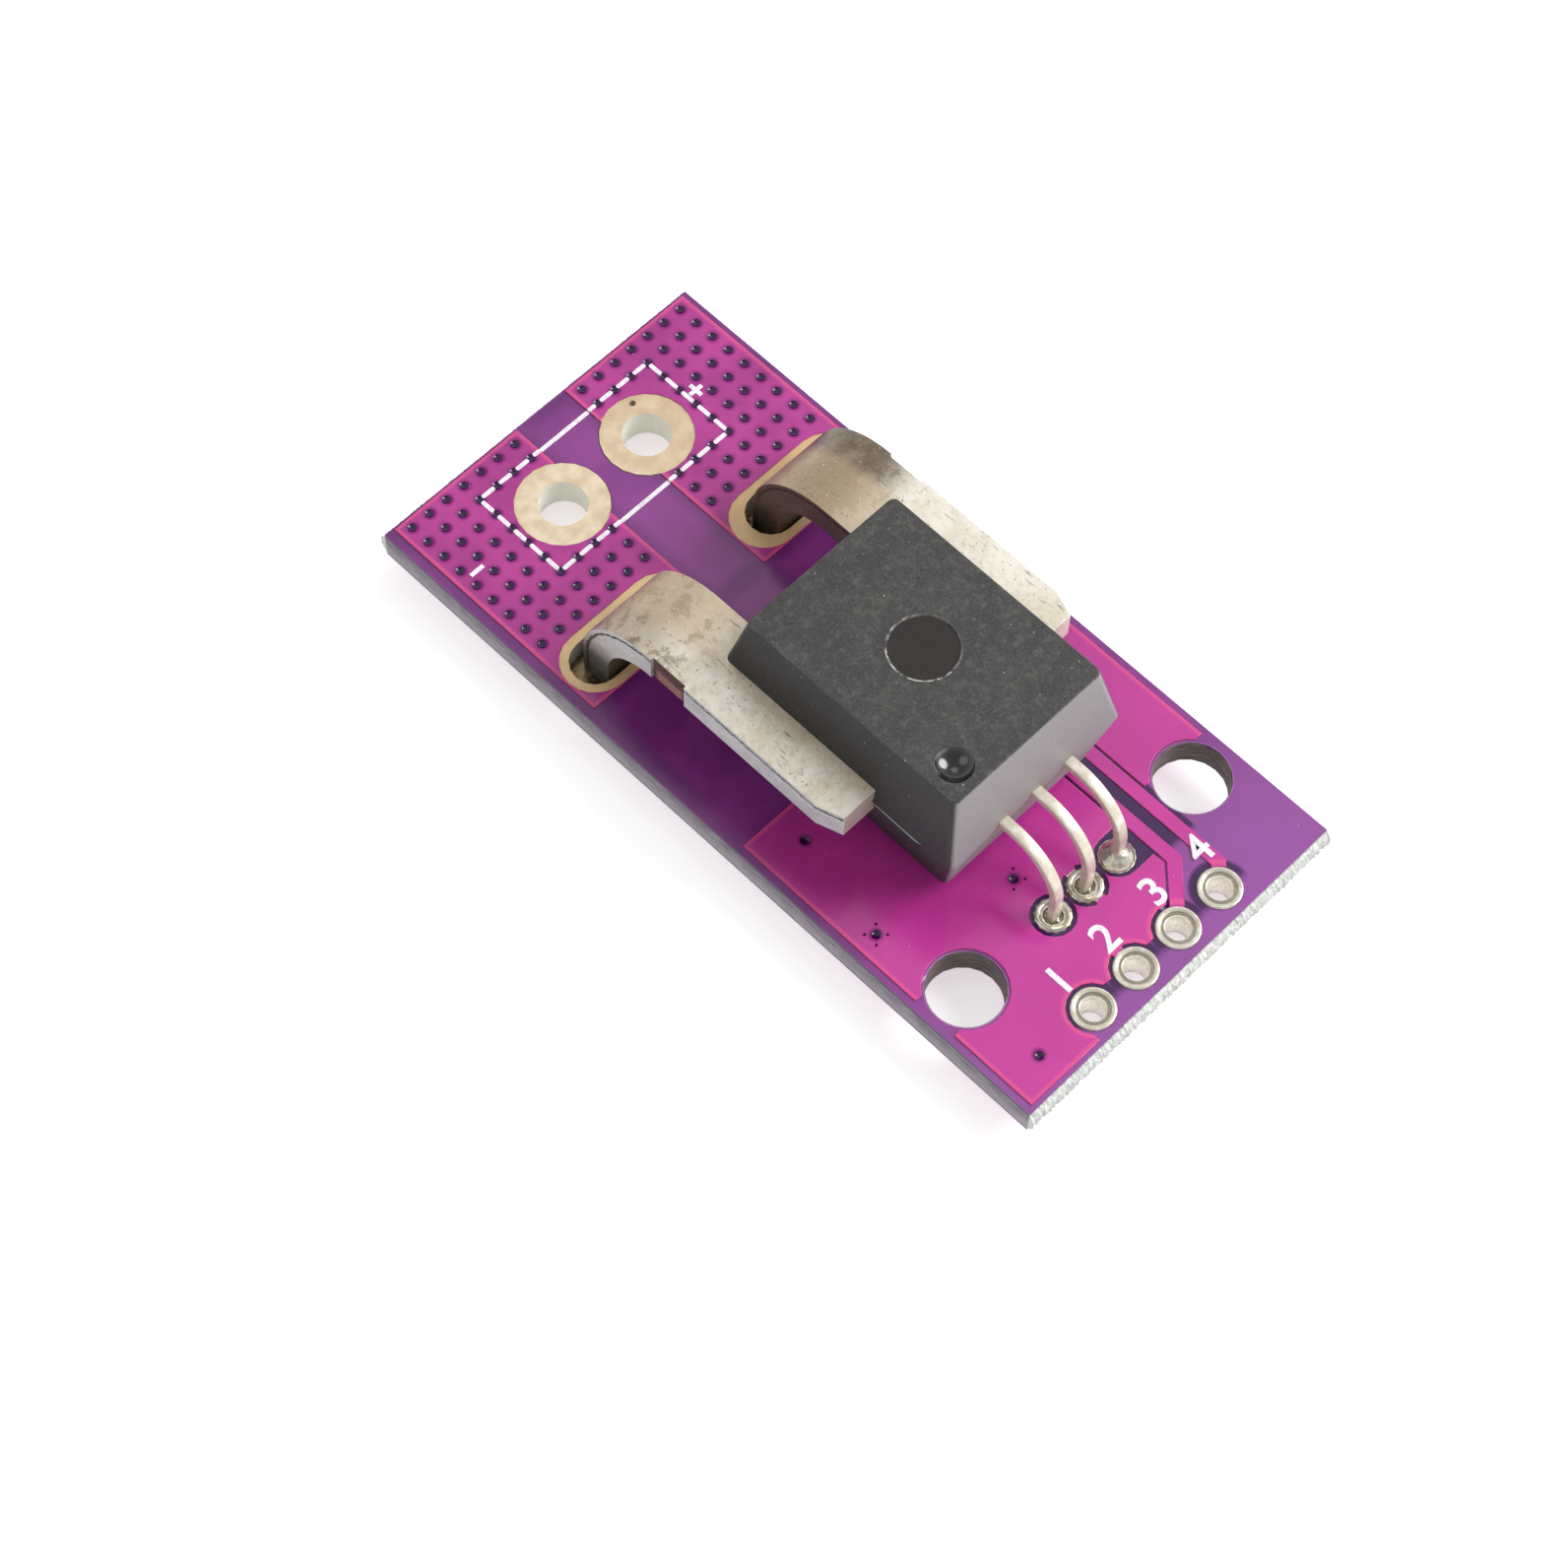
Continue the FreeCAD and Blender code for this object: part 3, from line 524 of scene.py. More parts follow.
def bright_solder():
    """Smooth solder with a faint grain and dull patches of flux."""
    paint = Paint("bright_solder", Metallic=0.9)
    mottle = paint.noise(2.4, 3.0)
    colour = paint.mix(paint.step(mottle, 0.45, 0.7), rgb(220, 218, 204), rgb(170, 158, 130))
    from_lead = paint.flat_distance(*lead_places.values())
    # Darker in the recess round each lead: flux residue and painted shade.
    recess = paint.times(paint.step(from_lead, 0.52, 0.42),
                         paint.step(paint.z, copper_high.z - 0.3, copper_high.z - 0.2),
                         paint.step(paint.z, copper_high.z + 0.1, copper_high.z))
    colour = paint.mix(paint.times(recess, 0.7), colour, rgb(96, 86, 62))
    paint.set(Base_Color=colour, Roughness=paint.step(mottle, 0.3, 0.7, 0.14, 0.3))
    paint.set(Normal=paint.bump(paint.noise(3.0, 3.0), 0.015))
    return paint.material


def slot_solder():
    """Solder deep in a slot, brown and olive from burnt flux and painted shade, pale below the board."""
    paint = Paint("slot_solder", Metallic=0.55)
    mottle = paint.noise(1.6, 4.0, 0.6)
    # Brown and olive inside the slot: burnt flux and painted shade.
    deep = paint.mix(paint.step(mottle, 0.42, 0.62), rgb(66, 52, 32), rgb(144, 126, 90))
    low = paint.step(paint.z, copper_low.z + 0.02, copper_low.z - 0.02)
    colour = paint.mix(low, deep, rgb(206, 202, 190))
    paint.set(Base_Color=colour, Roughness=paint.step(mottle, 0.3, 0.7, 0.14, 0.34))
    paint.set(Normal=paint.bump(paint.noise(2.0, 3.0), 0.05))
    return paint.material


def moulding():
    """Charcoal moulding compound with a fine grain, pale specks and a smooth pin mark."""
    paint = Paint("moulding")
    grain, cloud = paint.noise(9.0, 5.0, 0.75), paint.noise(0.5, 3.0)
    colour = paint.mix(paint.step(cloud, 0.3, 0.7), rgb(62, 61, 61), rgb(72, 71, 69))
    colour = paint.mix(paint.step(grain, 0.4, 0.56, 0.6, 0.0), colour, rgb(48, 47, 48))
    colour = paint.mix(paint.step(grain, 0.54, 0.7, 0.0, 0.6), colour, rgb(106, 104, 98))
    # Painted shade on the side facing away from the light.
    left = paint.step(paint.split(paint.normal)[0], -0.6, -0.9)
    colour = paint.mix(paint.times(left, 0.85), colour, rgb(30, 29, 32))
    scuff = paint.times(paint.step(paint.noise(2.0, 6.0, 0.75), 0.5, 0.66), paint.inverse(left))
    colour = paint.mix(paint.times(scuff, 0.3), colour, rgb(116, 114, 108))
    specks = paint.spots(5.0, 0.03, 0.1)
    colour = paint.mix(paint.times(specks, 0.5), colour, rgb(134, 134, 130))
    bright = paint.times(paint.spots(1.7, 0.03, 0.09), paint.step(grain, 0.45, 0.55))
    colour = paint.mix(paint.times(bright, 0.7), colour, rgb(186, 186, 180))
    from_dimple = paint.flat_distance(dimple_place)
    top = paint.step(paint.z, body_high.z - dimple_depth - 0.1, body_high.z - dimple_depth)
    in_dimple = paint.times(paint.step(from_dimple, dimple_radius + 0.02, dimple_radius), top)
    colour = paint.mix(in_dimple, colour, rgb(26, 26, 30))
    from_pin = paint.flat_distance(body_centre)
    in_pin = paint.times(paint.step(from_pin, ejector_radius, ejector_radius - 0.06), top)
    colour = paint.mix(paint.times(in_pin, 0.95), colour, rgb(34, 27, 26))
    # Pale broken rim of the pin mark: worn, and lighter on its left half as a painted highlight.
    ring = paint.within(from_pin, ejector_radius - 0.01, ejector_radius + 0.04, 0.04)
    broken = paint.step(paint.noise(2.6, 4.0, 0.7), 0.46, 0.56)
    worn = paint.times(ring, top, broken, paint.step(paint.x, 1.3, -0.4, 0.1, 0.9))
    colour = paint.mix(worn, colour, rgb(190, 190, 182))
    # Painted sheen on the front face.
    front = paint.step(paint.split(paint.normal)[1], -0.6, -0.9)
    colour = paint.mix(paint.times(front, 0.7), colour, rgb(170, 166, 168))
    smudge = paint.times(paint.step(paint.flat_distance(*lead_roots), 0.75, 0.2), front,
                         paint.step(paint.z, parting + 0.9, parting + 0.2))
    colour = paint.mix(paint.times(smudge, 0.45), colour, rgb(150, 132, 116))
    on_flash = paint.step(paint.math("ABSOLUTE", paint.x), body_high.x + 0.004, body_high.x + 0.012)
    colour = paint.mix(on_flash, colour, rgb(170, 170, 168))
    rough = paint.step(grain, 0.3, 0.7, 0.6, 0.46)
    smooth = paint.times(in_dimple, -0.36)
    paint.set(Base_Color=colour, Roughness=paint.math("ADD", rough, smooth))
    paint.set(Specular_IOR_Level=paint.math("ADD", paint.times(in_dimple, 0.55), 0.45))
    paint.set(Normal=paint.bump(paint.times(grain, paint.inverse(in_dimple)), 0.02))
    return paint.material


def laminate():
    """Glass and resin: mauve-grey sawn sides, pale torn ends, dark walls in the drilled holes."""
    paint = Paint("laminate", Roughness=0.62)
    layers = paint.noise(1.0, 4.0, 0.6, stretch=(1.2, 1.2, 9))
    side = paint.mix(paint.step(layers, 0.35, 0.65), rgb(108, 98, 112), rgb(152, 144, 154))
    lower = paint.step(paint.z, core_high.z - 0.4, core_low.z + 0.2)
    side = paint.mix(paint.times(lower, 0.5), side, rgb(192, 188, 192))
    side = paint.mix(paint.step(paint.z, core_high.z - 0.22, core_high.z - 0.05), side, rgb(66, 54, 74))
    fibre = paint.noise(2.2, 5.0, 0.7, stretch=(3, 1, 5))
    torn = paint.mix(paint.step(fibre, 0.38, 0.66), rgb(204, 207, 202), rgb(240, 241, 238))
    at_end = paint.step(paint.math("ABSOLUTE", paint.y), board_end - 0.02, board_end + 0.04)
    colour = paint.mix(at_end, side, torn)
    wall = paint.mix(paint.step(layers, 0.35, 0.7), rgb(70, 62, 60), rgb(140, 126, 120))
    from_screw = paint.flat_distance(*screw_holes)
    colour = paint.mix(paint.step(from_screw, mount_radius + 0.1, mount_radius + 0.05), colour, wall)
    paint.set(Base_Color=colour, Normal=paint.bump(fibre, 0.03))
    return paint.material


def ink():
    """White print, a little uneven in cover."""
    paint = Paint("ink", Roughness=0.5)
    cover = paint.noise(6.0, 4.0, 0.6)
    colour = paint.mix(paint.step(cover, 0.3, 0.6), rgb(226, 214, 230), rgb(248, 246, 248))
    paint.set(Base_Color=colour, Normal=paint.bump(cover, 0.005))
    return paint.material


def plain(name, low, high, metallic, roughness, scale):
    """A finish for the small pieces sealed inside the body."""
    paint = Paint(name, Metallic=metallic, Roughness=roughness)
    grain = paint.noise(scale, 4.0)
    paint.set(Base_Color=paint.mix(grain, low, high), Normal=paint.bump(grain, 0.004))
    return paint.material


# Meshes, built in millimetres and scaled to metres when a piece is made
def piece(name, mesh, material, replaced=(), smooth=40):
    """A finished piece from a mesh in millimetres."""
    data = bpy.data.meshes.new(name)
    mesh.to_mesh(data)
    mesh.free()
    data.transform(Matrix.Scale(1 / metre, 4))
    data.materials.append(material)
    data.shade_smooth()
    data.set_sharp_from_angle(angle=math.radians(smooth))
    thing = bpy.data.objects.new(name, data)
    bpy.context.scene.collection.objects.link(thing)
    weighted = thing.modifiers.new("weighted", "WEIGHTED_NORMAL")
    weighted.keep_sharp = True
    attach(thing, "root")
    if replaced:
        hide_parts(*replaced)
    return thing


def whole(node):
    """A node's mesh in millimetres, with its corners merged and its flat faces whole."""
    mesh = bmesh.new()
    mesh.from_mesh(nodes[node].data)
    mesh.transform(Matrix.Scale(metre, 4))
    bmesh.ops.remove_doubles(mesh, verts=mesh.verts, dist=0.0005)
    bmesh.ops.dissolve_limit(mesh, angle_limit=math.radians(0.5), verts=mesh.verts, edges=mesh.edges)
    return mesh


def rounded(mesh, width, sharper_than=28, segments=3, chosen=lambda edge: True):
    """Rounds the sharp edges of a mesh."""
    edges = [edge for edge in mesh.edges
             if len(edge.link_faces) == 2 and chosen(edge)
             and edge.calc_face_angle() > math.radians(sharper_than)]
    bmesh.ops.bevel(mesh, geom=edges, offset=width, offset_type="OFFSET", segments=segments,
                    profile=0.5, affect="EDGES", clamp_overlap=True)
    return mesh


def lathe(mesh, centre, profile, sides=64, caps=(True, True)):
    """Adds a form turned about an upright axis, from its outline as pairs of radius and height."""
    turns = [2 * math.pi * i / sides for i in range(sides)]
    rings = []
    for radius, height in profile:
        rings.append([mesh.verts.new((centre[0] + radius * math.cos(turn),
                                      centre[1] + radius * math.sin(turn), height)) for turn in turns])
    for low, high in zip(rings, rings[1:]):
        for i in range(sides):
            j = (i + 1) % sides
            mesh.faces.new((low[i], low[j], high[j], high[i]))
    if caps[0]:
        mesh.faces.new(rings[0][::-1])
    if caps[1]:
        mesh.faces.new(rings[-1])


def curve_between(points, steps=6):
    """A smooth outline through a few points."""
    path = []
    padded = [points[0]] + list(points) + [points[-1]]
    for a, b, c, d in zip(padded, padded[1:], padded[2:], padded[3:]):
        for i in range(steps):
            t = i / steps
            weights = (-t**3 + 2*t**2 - t, 3*t**3 - 5*t**2 + 2, -3*t**3 + 4*t**2 + t, t**3 - t**2)
            path.append(tuple(sum(w * p[k] for w, p in zip(weights, (a, b, c, d))) / 2
                              for k in (0, 1)))
    return path + [tuple(points[-1])]


def carved(mesh, cutters):
    """A mesh with other closed meshes cut out of it."""
    things = []
    for part in [mesh] + cutters:
        data = bpy.data.meshes.new("carving")
        part.to_mesh(data)
        part.free()
        things.append(bpy.data.objects.new("carving", data))
        bpy.context.scene.collection.objects.link(things[-1])
    for cutter in things[1:]:
        step = things[0].modifiers.new("cut", "BOOLEAN")
        step.operation = "DIFFERENCE"
        step.solver = "EXACT"
        step.object = cutter
    bpy.context.view_layer.update()
    shape = things[0].evaluated_get(bpy.context.evaluated_depsgraph_get())
    result = bmesh.new()
    result.from_mesh(shape.to_mesh())
    for thing in things:
        bpy.data.objects.remove(thing)
    bmesh.ops.remove_doubles(result, verts=result.verts, dist=0.0002)
    return result


# The pieces
def level_pits(mesh):
    """Fills the small pits over the vias and returns their places."""
    pit_level = mask_high.z - pit_depth
    bottoms = [v for v in mesh.verts
               if abs(v.co.z - pit_level) < 0.002 and len(v.link_edges) == pit_sides]
    for v in bottoms:
        v.co.z = mask_high.z
    places = [v.co.xy.copy() for v in bottoms]
    mesh.normal_update()
    bmesh.ops.dissolve_limit(mesh, angle_limit=math.radians(0.5), verts=mesh.verts, edges=mesh.edges)
    return places


def speck_places(vias):
    """Small marks close round two of the ground vias."""
    places = []
    for via in vias:
        for (x, y), marks in specked_vias.items():
            if (via - Vector((x, y))).length < 0.2:
                places += [via + Vector(mark) * speck_reach for mark in marks]
    return places


def bowl_cutters(places, radius, depth):
    """Soft bowls sunk into the top of the mask."""
    profile = [(share * radius, mask_high.z - deep * depth) for share, deep in bowl_outline]
    profile.append((bowl_opening * radius, mask_high.z + 0.1))
    cutters = bmesh.new()
    for place in places:
        lathe(cutters, place, profile, sides=24)
    bmesh.ops.recalc_face_normals(cutters, faces=cutters.faces)
    return cutters


def drops_to_board(edge):
    """Whether the stretched mask drops at an edge from over the copper to the bare board."""
    top = min(v.co.z for v in edge.verts) / step_stretch
    low = min(v.co.z for face in edge.link_faces for v in face.verts) / step_stretch
    return top > mask_high.z - 0.005 and abs(low - bare_level) < 0.005


def make_mask(material):
    """The upper mask, with rounded steps over the copper's edges and a soft bowl over each via."""
    mesh = whole("mask_top")
    vias = level_pits(mesh)
    specks = speck_places(vias)
    # The mask flows over the copper's edge in a round that is wider than it is high
    mesh.transform(Matrix.Diagonal((1, 1, step_stretch, 1)))
    bmesh.ops.remove_doubles(mesh, verts=mesh.verts, dist=step_merge)
    rounded(mesh, step_round, 60, 3, drops_to_board)
    mesh.transform(Matrix.Diagonal((1, 1, 1 / step_stretch, 1)))
    mesh = carved(mesh, [bowl_cutters(vias, bowl_radius, bowl_depth),
                         bowl_cutters(specks, speck_radius, speck_depth)])
    bmesh.ops.dissolve_limit(mesh, angle_limit=math.radians(0.2), verts=mesh.verts, edges=mesh.edges)
    bowl = mesh.verts.layers.float.new("bowl")
    shoulder = mesh.verts.layers.float.new("shoulder")
    holes = [(place, bowl_radius) for place in vias] + [(place, speck_radius) for place in specks]
    for v in mesh.verts:
        drop = mask_high.z - v.co.z
        if 0.0003 < drop < mask_thickness - 0.001:
            share = max(1 - (v.co.xy - place).length / radius for place, radius in holes)
            v[bowl] = max(0.0, share)
            v[shoulder] = min(1.0, drop / 0.012) if share < 0 else 0.0
    return piece("upper_mask", mesh, material, ("mask_top",), smooth=60)


def make_conductor(material):
    mesh = rounded(whole("primary_conductor"), conductor_round, segments=4)
    return piece("conductor", mesh, material, ("primary_conductor",))


def make_leads(material):
    for name in lead_names:
        mesh = rounded(whole(name), lead_round)
        piece(name + "_formed", mesh, material, (name,))


def body_loop(mesh, inset, level, corner_steps=6):
    """One level of the body: a rectangle with rounded corners."""
    half_x = (body_high.x - body_low.x) / 2 - inset
    low_y, high_y = body_low.y + inset, body_high.y - inset
    corners = ((half_x, low_y, -90), (half_x, high_y, 0), (-half_x, high_y, 90), (-half_x, low_y, 180))
    ring = []
    for x, y, start in corners:
        cx = x - math.copysign(body_corner, x)
        cy = y - body_corner if y == high_y else y + body_corner
        for i in range(corner_steps + 1):
            turn = math.radians(start + 90 * i / corner_steps)
            ring.append(mesh.verts.new((cx + body_corner * math.cos(turn),
                                        cy + body_corner * math.sin(turn), level)))
    return ring


def make_body(material):
    """The moulding: two drafted halves, rounded rims, a pin mark, a dimple and a line of flash."""
    mesh = bmesh.new()
    full = (body_high.z - parting - body_round) * math.tan(body_draft)
    levels = []
    for degrees in (0, 30, 60, 90):
        turn = math.radians(degrees)
        levels.append((full + body_round * (1 - math.sin(turn)), body_round * (1 - math.cos(turn))))
    half = [(inset, body_low.z + rise) for inset, rise in levels] + [(0, parting)]
    outline = half + [(inset, body_high.z - rise) for inset, rise in levels[::-1]]
    rings = [body_loop(mesh, inset, level) for inset, level in outline]
    for low, high in zip(rings, rings[1:]):
        for i in range(len(low)):
            j = (i + 1) % len(low)
            mesh.faces.new((low[i], low[j], high[j], high[i]))
    mesh.faces.new(rings[0][::-1])
    mesh.faces.new(rings[-1])
    bmesh.ops.recalc_face_normals(mesh, faces=mesh.faces)
    ball_radius = (dimple_radius**2 + dimple_depth**2) / (2 * dimple_depth)
    ball = bmesh.new()
    bmesh.ops.create_uvsphere(ball, u_segments=64, v_segments=64, radius=ball_radius)
    ball.transform(Matrix.Translation((*dimple_place, body_high.z - dimple_depth + ball_radius)))
    disc = bmesh.new()
    lathe(disc, body_centre, [(ejector_radius - 0.03, body_high.z - ejector_depth),
                              (ejector_radius, body_high.z - ejector_depth + 0.03),
                              (ejector_radius + 0.01, body_high.z + 0.3)], sides=96)
    bmesh.ops.recalc_face_normals(disc, faces=disc.faces)
    mesh = carved(mesh, [ball, disc])
    flash(mesh)
    return piece("moulded_body", mesh, material, ("sensor_body",), smooth=25)


def flash(mesh):
    """A thin fin left at the parting line, along part of one side."""
    side, rise, start, end = body_low.x, 0.025, *flash_span
    rows = []
    for y, reach in ((start, 0.0), (start + 0.3, 0.07), (end - 0.8, 0.05), (end, 0.0)):
        corners = ((side + 0.05, parting - rise), (side + 0.05, parting + rise), (side - reach, parting))
        rows.append([mesh.verts.new((x, y, z)) for x, z in corners])
    for near, far in zip(rows, rows[1:]):
        for i in range(3):
            j = (i + 1) % 3
            mesh.faces.new((near[i], near[j], far[j], far[i]))
    mesh.faces.new(rows[0][::-1])
    mesh.faces.new(rows[-1])


def make_header_pads(material):
    """The flowed tin on each header pad, rolled at its rim and thin on the hole's wall."""
    for i, place in enumerate(header_places):
        mesh = bmesh.new()
        top, inner = copper_high.z, header_radius - 0.012
        upper = curve_between([
            (pad_radius + 0.01, top - 0.05), (pad_radius + 0.005, top + 0.03),
            (pad_radius - 0.06, top + 0.07), (pad_radius - 0.16, top + 0.055),
            (pad_radius - 0.27, top + 0.03), (inner + 0.04, top + 0.02), (inner, top - 0.05),
        ])
        under = [(radius, copper_low.z + copper_high.z - height) for radius, height in upper[::-1]]
        lathe(mesh, place, upper + under + upper[:1], caps=(False, False))
        bmesh.ops.remove_doubles(mesh, verts=mesh.verts, dist=0.0001)
        bmesh.ops.recalc_face_normals(mesh, faces=mesh.faces)
        piece(f"header_pad_{i + 1}", mesh, material, smooth=60)


def make_lead_solder(material):
    """Each pin's solder: a foot below, and above a thin ring for two of them and a dome for one."""
    top = copper_high.z
    ring = [(pin_ring_radius, top), (pin_ring_radius - 0.03, top + 0.06), (0.64, top + 0.085),
            (0.54, top + 0.05), (0.44, top - 0.09), (0.34, top - 0.16), (0.22, top - 0.1),
            (0.12, top - 0.1)]
    dome = [(pin_ring_radius - 0.02, top), (pin_ring_radius - 0.04, top + 0.06), (0.66, top + 0.17),
            (0.52, top + 0.3), (0.4, top + 0.42), (0.28, top + 0.5), (0.15, top + 0.52)]
    base = copper_low.z
    foot = [(0.15, base - 0.72), (0.3, base - 0.66), (0.38, base - 0.42), (0.5, base - 0.2),
            (0.66, base - 0.08), (foot_radius, base)]
    for name, upper in (("supply", ring), ("ground", ring), ("output", dome)):
        mesh = bmesh.new()
        lathe(mesh, lead_places["lead_" + name], curve_between(foot) + curve_between(upper))
        bmesh.ops.recalc_face_normals(mesh, faces=mesh.faces)
        piece("solder_joint_" + name, mesh, material, ("lead_solder_" + name,), smooth=60)


def make_labels(material):
    """Plain numbers at the header holes, and a sign for each current terminal."""
    for i, x in enumerate(label_places):
        text = str(i + 1)
        data = bpy.data.curves.new("number", "FONT")
        data.body = text
        data.size = label_size
        data.extrude = (mask_high.z + label_height - bare_level) / 2
        data.offset = label_weight
        label = bpy.data.objects.new("number", data)
        bpy.context.scene.collection.objects.link(label)
        bpy.context.view_layer.update()
        shape = label.evaluated_get(bpy.context.evaluated_depsgraph_get())
        mesh = bmesh.new()
        mesh.from_mesh(shape.to_mesh())
        mesh.transform(Matrix.Translation((x, label_y, bare_level + data.extrude)))
        bpy.data.objects.remove(label)
        piece("number_" + text, mesh, material)
    signs = bmesh.new()
    plus, minus = sign_places
    half_width, half_arm = sign_width / 2, (sign_reach - sign_width / 2) / 2
    bars = [(*plus, sign_reach, half_width), (*minus, sign_reach, half_width)]
    bars += [(plus[0], plus[1] + side * (half_width + half_arm), half_width, half_arm)
             for side in (-1, 1)]
    for x, y, half_x, half_y in bars:
        for v in bmesh.ops.create_cube(signs, size=2.0)["verts"]:
            v.co = Vector((x + v.co.x * half_x, y + v.co.y * half_y,
                           mask_high.z + label_height * (v.co.z + 1) / 2))
    piece("terminal_signs", signs, material)


def make_print(material):
    mesh = rounded(whole("silkscreen"), dash_round, 40, 3,
                   lambda edge: abs(edge.verts[0].co.z - edge.verts[1].co.z) > 0.01)
    piece("printed_dashes", mesh, material, ("silkscreen",))


def ragged_end(mesh, end, rng):
    """One short end of the board: fibres torn along the snapped web between two scored slopes."""
    web_low, web_high, reach = core_low.z + score_depth, core_high.z - score_depth, core_high.y
    web_middle = (web_low + web_high) / 2
    outline = [(board_end, core_high.z), (board_end + 0.1, core_high.z - 0.15),
               (board_end + 0.2, core_high.z - 0.3), (reach, web_high), (reach, web_middle + 0.12),
               (reach, web_middle - 0.12), (reach, web_low), (board_end + 0.2, core_low.z + 0.3),
               (board_end + 0.1, core_low.z + 0.15), (board_end, core_low.z)]
    last = len(outline) - 1
    rows = []
    for i in range(fibre_count + 1):
        x = core_low.x + (core_high.x - core_low.x) * i / fibre_count
        row = []
        for k, (y, z) in enumerate(outline):
            if 0 < i < fibre_count and 0 < k < last:
                y -= rng.uniform(0.0, fibre_pull) * (1.0 if 2 < k < 7 else 0.7)
                z += rng.uniform(-fibre_lift, fibre_lift)
            row.append(mesh.verts.new((x, end * y, z)))
        rows.append(row)
    for left, right in zip(rows, rows[1:]):
        for k in range(last):
            mesh.faces.new((left[k], right[k], right[k + 1], left[k + 1]))


def make_laminate(material):
    """The board's core, with its two short ends torn."""
    mesh = whole("board_laminate")
    ends = [face for face in mesh.faces if face.calc_center_median().y**2 > (board_end + 0.02)**2
            and abs(face.normal.y) > 0.3]
    bmesh.ops.delete(mesh, geom=ends, context="FACES_ONLY")
    rng = random.Random(4)
    for end in (-1, 1):
        ragged_end(mesh, end, rng)
    bmesh.ops.recalc_face_normals(mesh, faces=mesh.faces)
    piece("torn_laminate", mesh, material, ("board_laminate",), smooth=30)


def dress(node, material):
    """Gives a node that keeps its own mesh its finish."""
    data = nodes[node].data
    data.materials.clear()
    data.materials.append(material)


def dress_object():
    mask, tan, tin, white = solder_mask(), tan_plating(), pad_tin(), ink()
    solder = bright_solder()
    make_mask(mask)
    make_conductor(blade_tin())
    make_leads(lead_tin())
    make_body(moulding())
    make_header_pads(tin)
    make_lead_solder(solder)
    make_labels(white)
    make_print(white)
    make_laminate(laminate())
    dress("mask_bottom", mask)
    for node in ("copper_input", "copper_return"):
        dress(node, tan)
    for node in ("copper_ground", "copper_supply", "copper_output"):
        dress(node, tin)
    in_slots = slot_solder()
    for node in ("blade_solder_input", "blade_solder_return"):
        dress(node, in_slots)
    dress("magnetic_core", plain("core_iron", rgb(120, 120, 124), rgb(150, 150, 152), 0.9, 0.5, 3.0))
    dress("hall_chip", plain("silicon", rgb(60, 62, 74), rgb(84, 86, 98), 0.3, 0.2, 4.0))
    dress("chip_adhesive", plain("adhesive", rgb(176, 176, 170), rgb(200, 200, 194), 0.1, 0.6, 5.0))
    dress("bond_wires", plain("gold_wire", rgb(236, 196, 96), rgb(250, 216, 130), 1.0, 0.25, 8.0))


# Floor, light and camera
def seen_directly(tree):
    """1 for rays that look at the background, straight or through a reflection or glass."""
    path = tree.nodes.new("ShaderNodeLightPath")
    total = path.outputs["Is Camera Ray"]
    for name in ("Is Glossy Ray", "Is Transmission Ray"):
        node = tree.nodes.new("ShaderNodeMath")
        node.operation = "MAXIMUM"
        tree.links.new(total, node.inputs[0])
        tree.links.new(path.outputs[name], node.inputs[1])
        total = node.outputs[0]
    return total


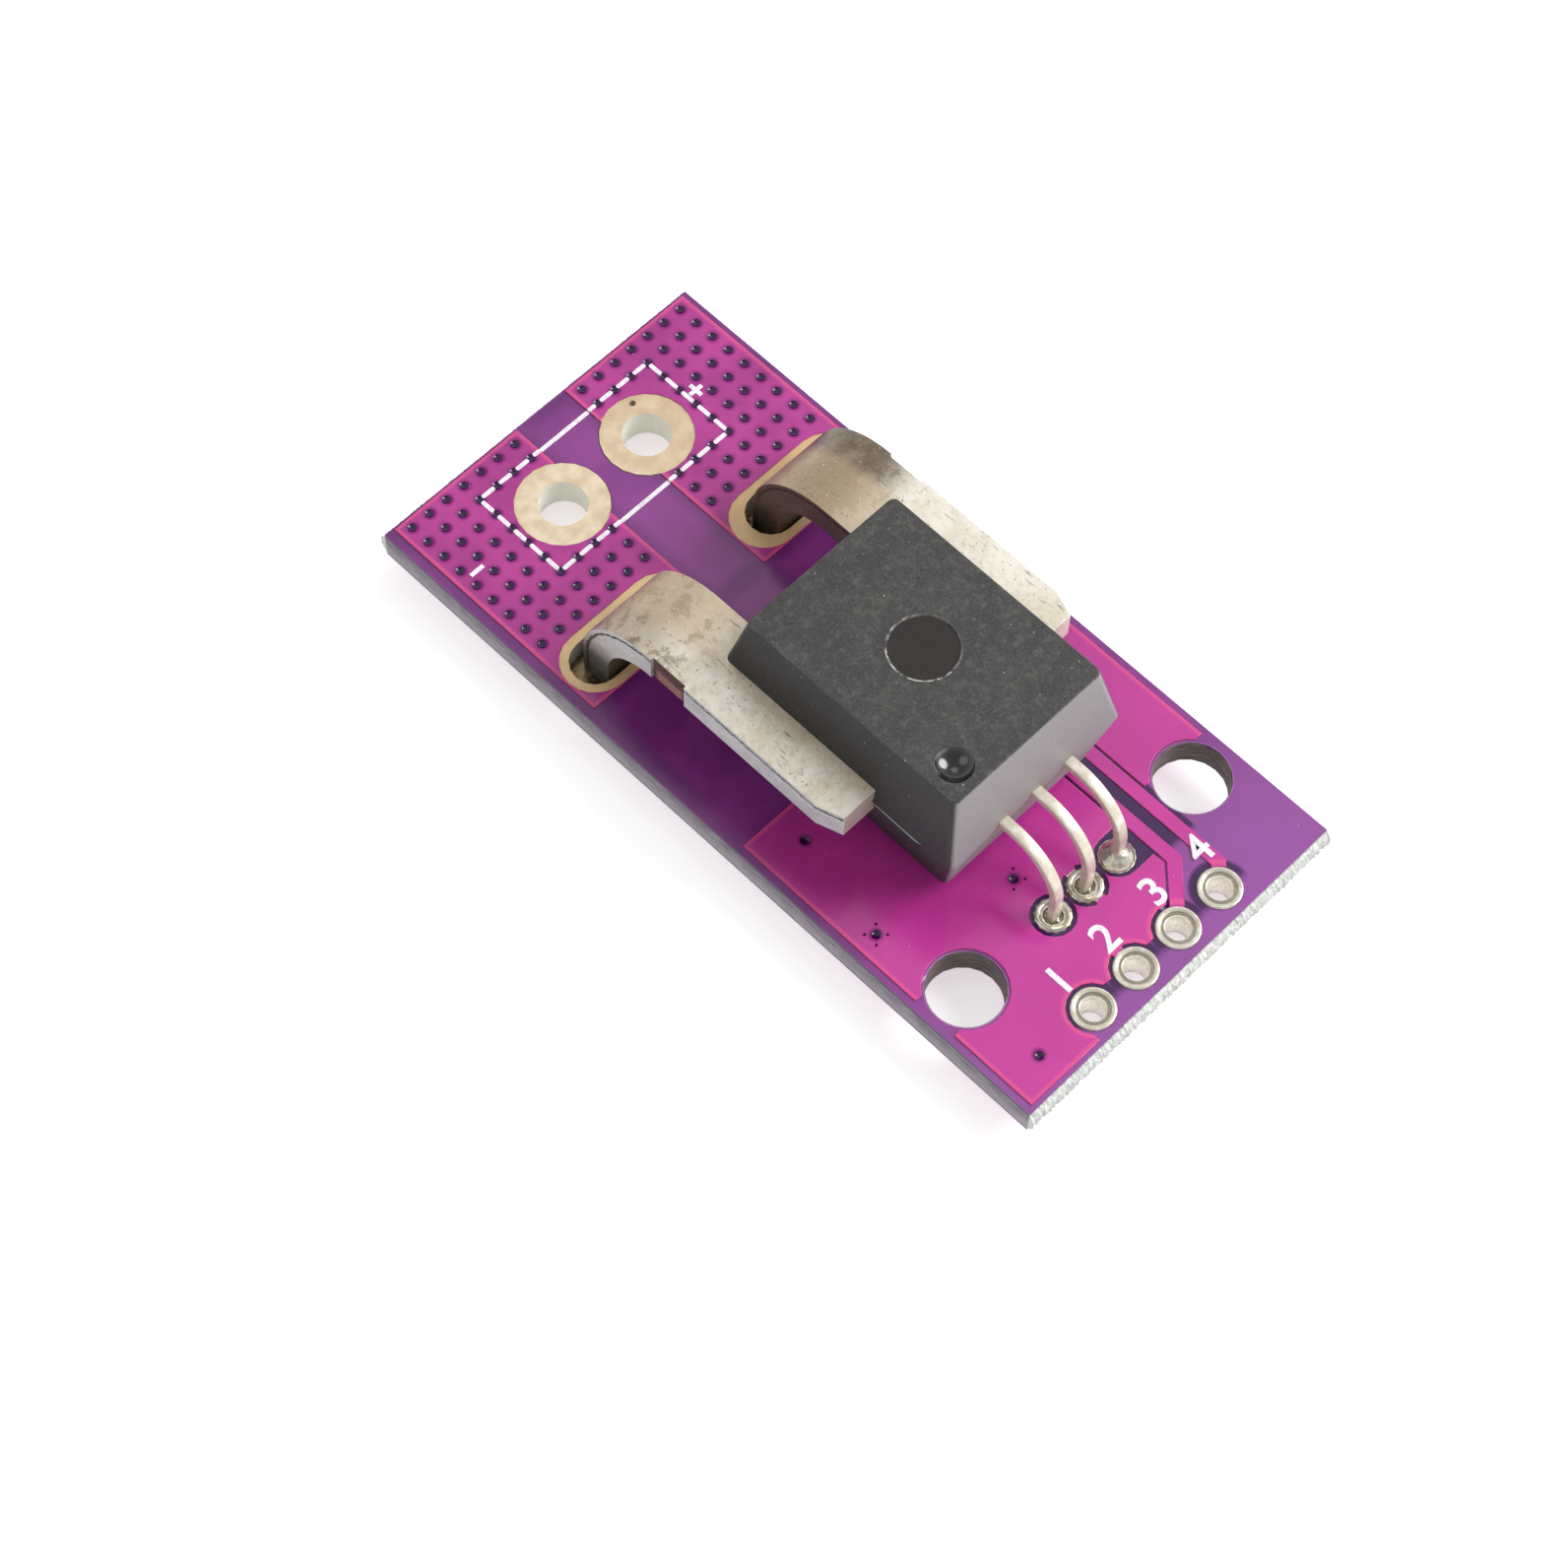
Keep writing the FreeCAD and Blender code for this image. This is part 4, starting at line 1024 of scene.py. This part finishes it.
def make_floor():
    """A wide pale floor that stays near white in the picture and keeps the object's shadow."""
    corners = [(x * floor_reach, y * floor_reach, 0) for x, y in ((-1, -1), (1, -1), (1, 1), (-1, 1))]
    data = bpy.data.meshes.new("floor")
    data.from_pydata(corners, [], [(0, 1, 2, 3)])
    floor = bpy.data.objects.new("floor", data)
    bpy.context.scene.collection.objects.link(floor)
    material = bpy.data.materials.new("floor")
    material.use_nodes = True
    tree = material.node_tree
    shader = tree.nodes["Principled BSDF"]
    shader.inputs["Base Color"].default_value = (0.8, 0.8, 0.8, 1)
    shader.inputs["Roughness"].default_value = 0.9
    shader.inputs["Specular IOR Level"].default_value = 0.1
    shader.inputs["Emission Color"].default_value = (1, 1, 1, 1)
    glow = tree.nodes.new("ShaderNodeMath")
    glow.operation = "MULTIPLY"
    tree.links.new(seen_directly(tree), glow.inputs[0])
    glow.inputs[1].default_value = 0.58
    tree.links.new(glow.outputs[0], shader.inputs["Emission Strength"])
    clear = tree.nodes.new("ShaderNodeBsdfTransparent")
    behind = tree.nodes.new("ShaderNodeMixShader")
    tree.links.new(tree.nodes.new("ShaderNodeNewGeometry").outputs["Backfacing"], behind.inputs[0])
    tree.links.new(shader.outputs[0], behind.inputs[1])
    tree.links.new(clear.outputs[0], behind.inputs[2])
    tree.links.new(behind.outputs[0], tree.nodes["Material Output"].inputs["Surface"])
    data.materials.append(material)


def make_world():
    """A pale studio: bright round the horizon and dimmer overhead."""
    world = bpy.data.worlds.new("studio")
    bpy.context.scene.world = world
    world.use_nodes = True
    tree = world.node_tree
    background = tree.nodes["Background"]
    background.inputs["Color"].default_value = (1, 1, 1, 1)
    direction = tree.nodes.new("ShaderNodeSeparateXYZ")
    tree.links.new(tree.nodes.new("ShaderNodeTexCoord").outputs["Generated"], direction.inputs[0])
    level = tree.nodes.new("ShaderNodeMapRange")
    tree.links.new(direction.outputs["Z"], level.inputs["Value"])
    level.inputs["From Min"].default_value = 0.05
    level.inputs["From Max"].default_value = 0.7
    level.inputs["To Min"].default_value = 1.0
    level.inputs["To Max"].default_value = 0.35
    tree.links.new(level.outputs[0], background.inputs["Strength"])


def make_lights():
    """Round soft lamps that face the object."""
    for name, (place, size, power) in lamps.items():
        data = bpy.data.lights.new(name, "AREA")
        data.shape = "DISK"
        data.size = size
        data.energy = power
        lamp = bpy.data.objects.new(name, data)
        lamp.location = place
        lamp.rotation_mode = "QUATERNION"
        lamp.rotation_quaternion = (Vector(lamp_target) - Vector(place)).to_track_quat("-Z", "Y")
        bpy.context.scene.collection.objects.link(lamp)


def make_camera():
    data = bpy.data.cameras.new("camera")
    data.lens = camera_lens
    data.sensor_width = sensor_width
    data.clip_start, data.clip_end = 0.005, 10
    camera = bpy.data.objects.new("camera", data)
    bpy.context.scene.collection.objects.link(camera)
    back = camera_right.cross(camera_up)
    camera.matrix_world = Matrix.Translation(camera_place / metre) @ Matrix(
        (camera_right, camera_up, back)).transposed().to_4x4()
    bpy.context.scene.camera = camera


dress_object()
make_floor()
make_world()
make_lights()
make_camera()
bpy.context.scene.view_settings.view_transform = "Standard"
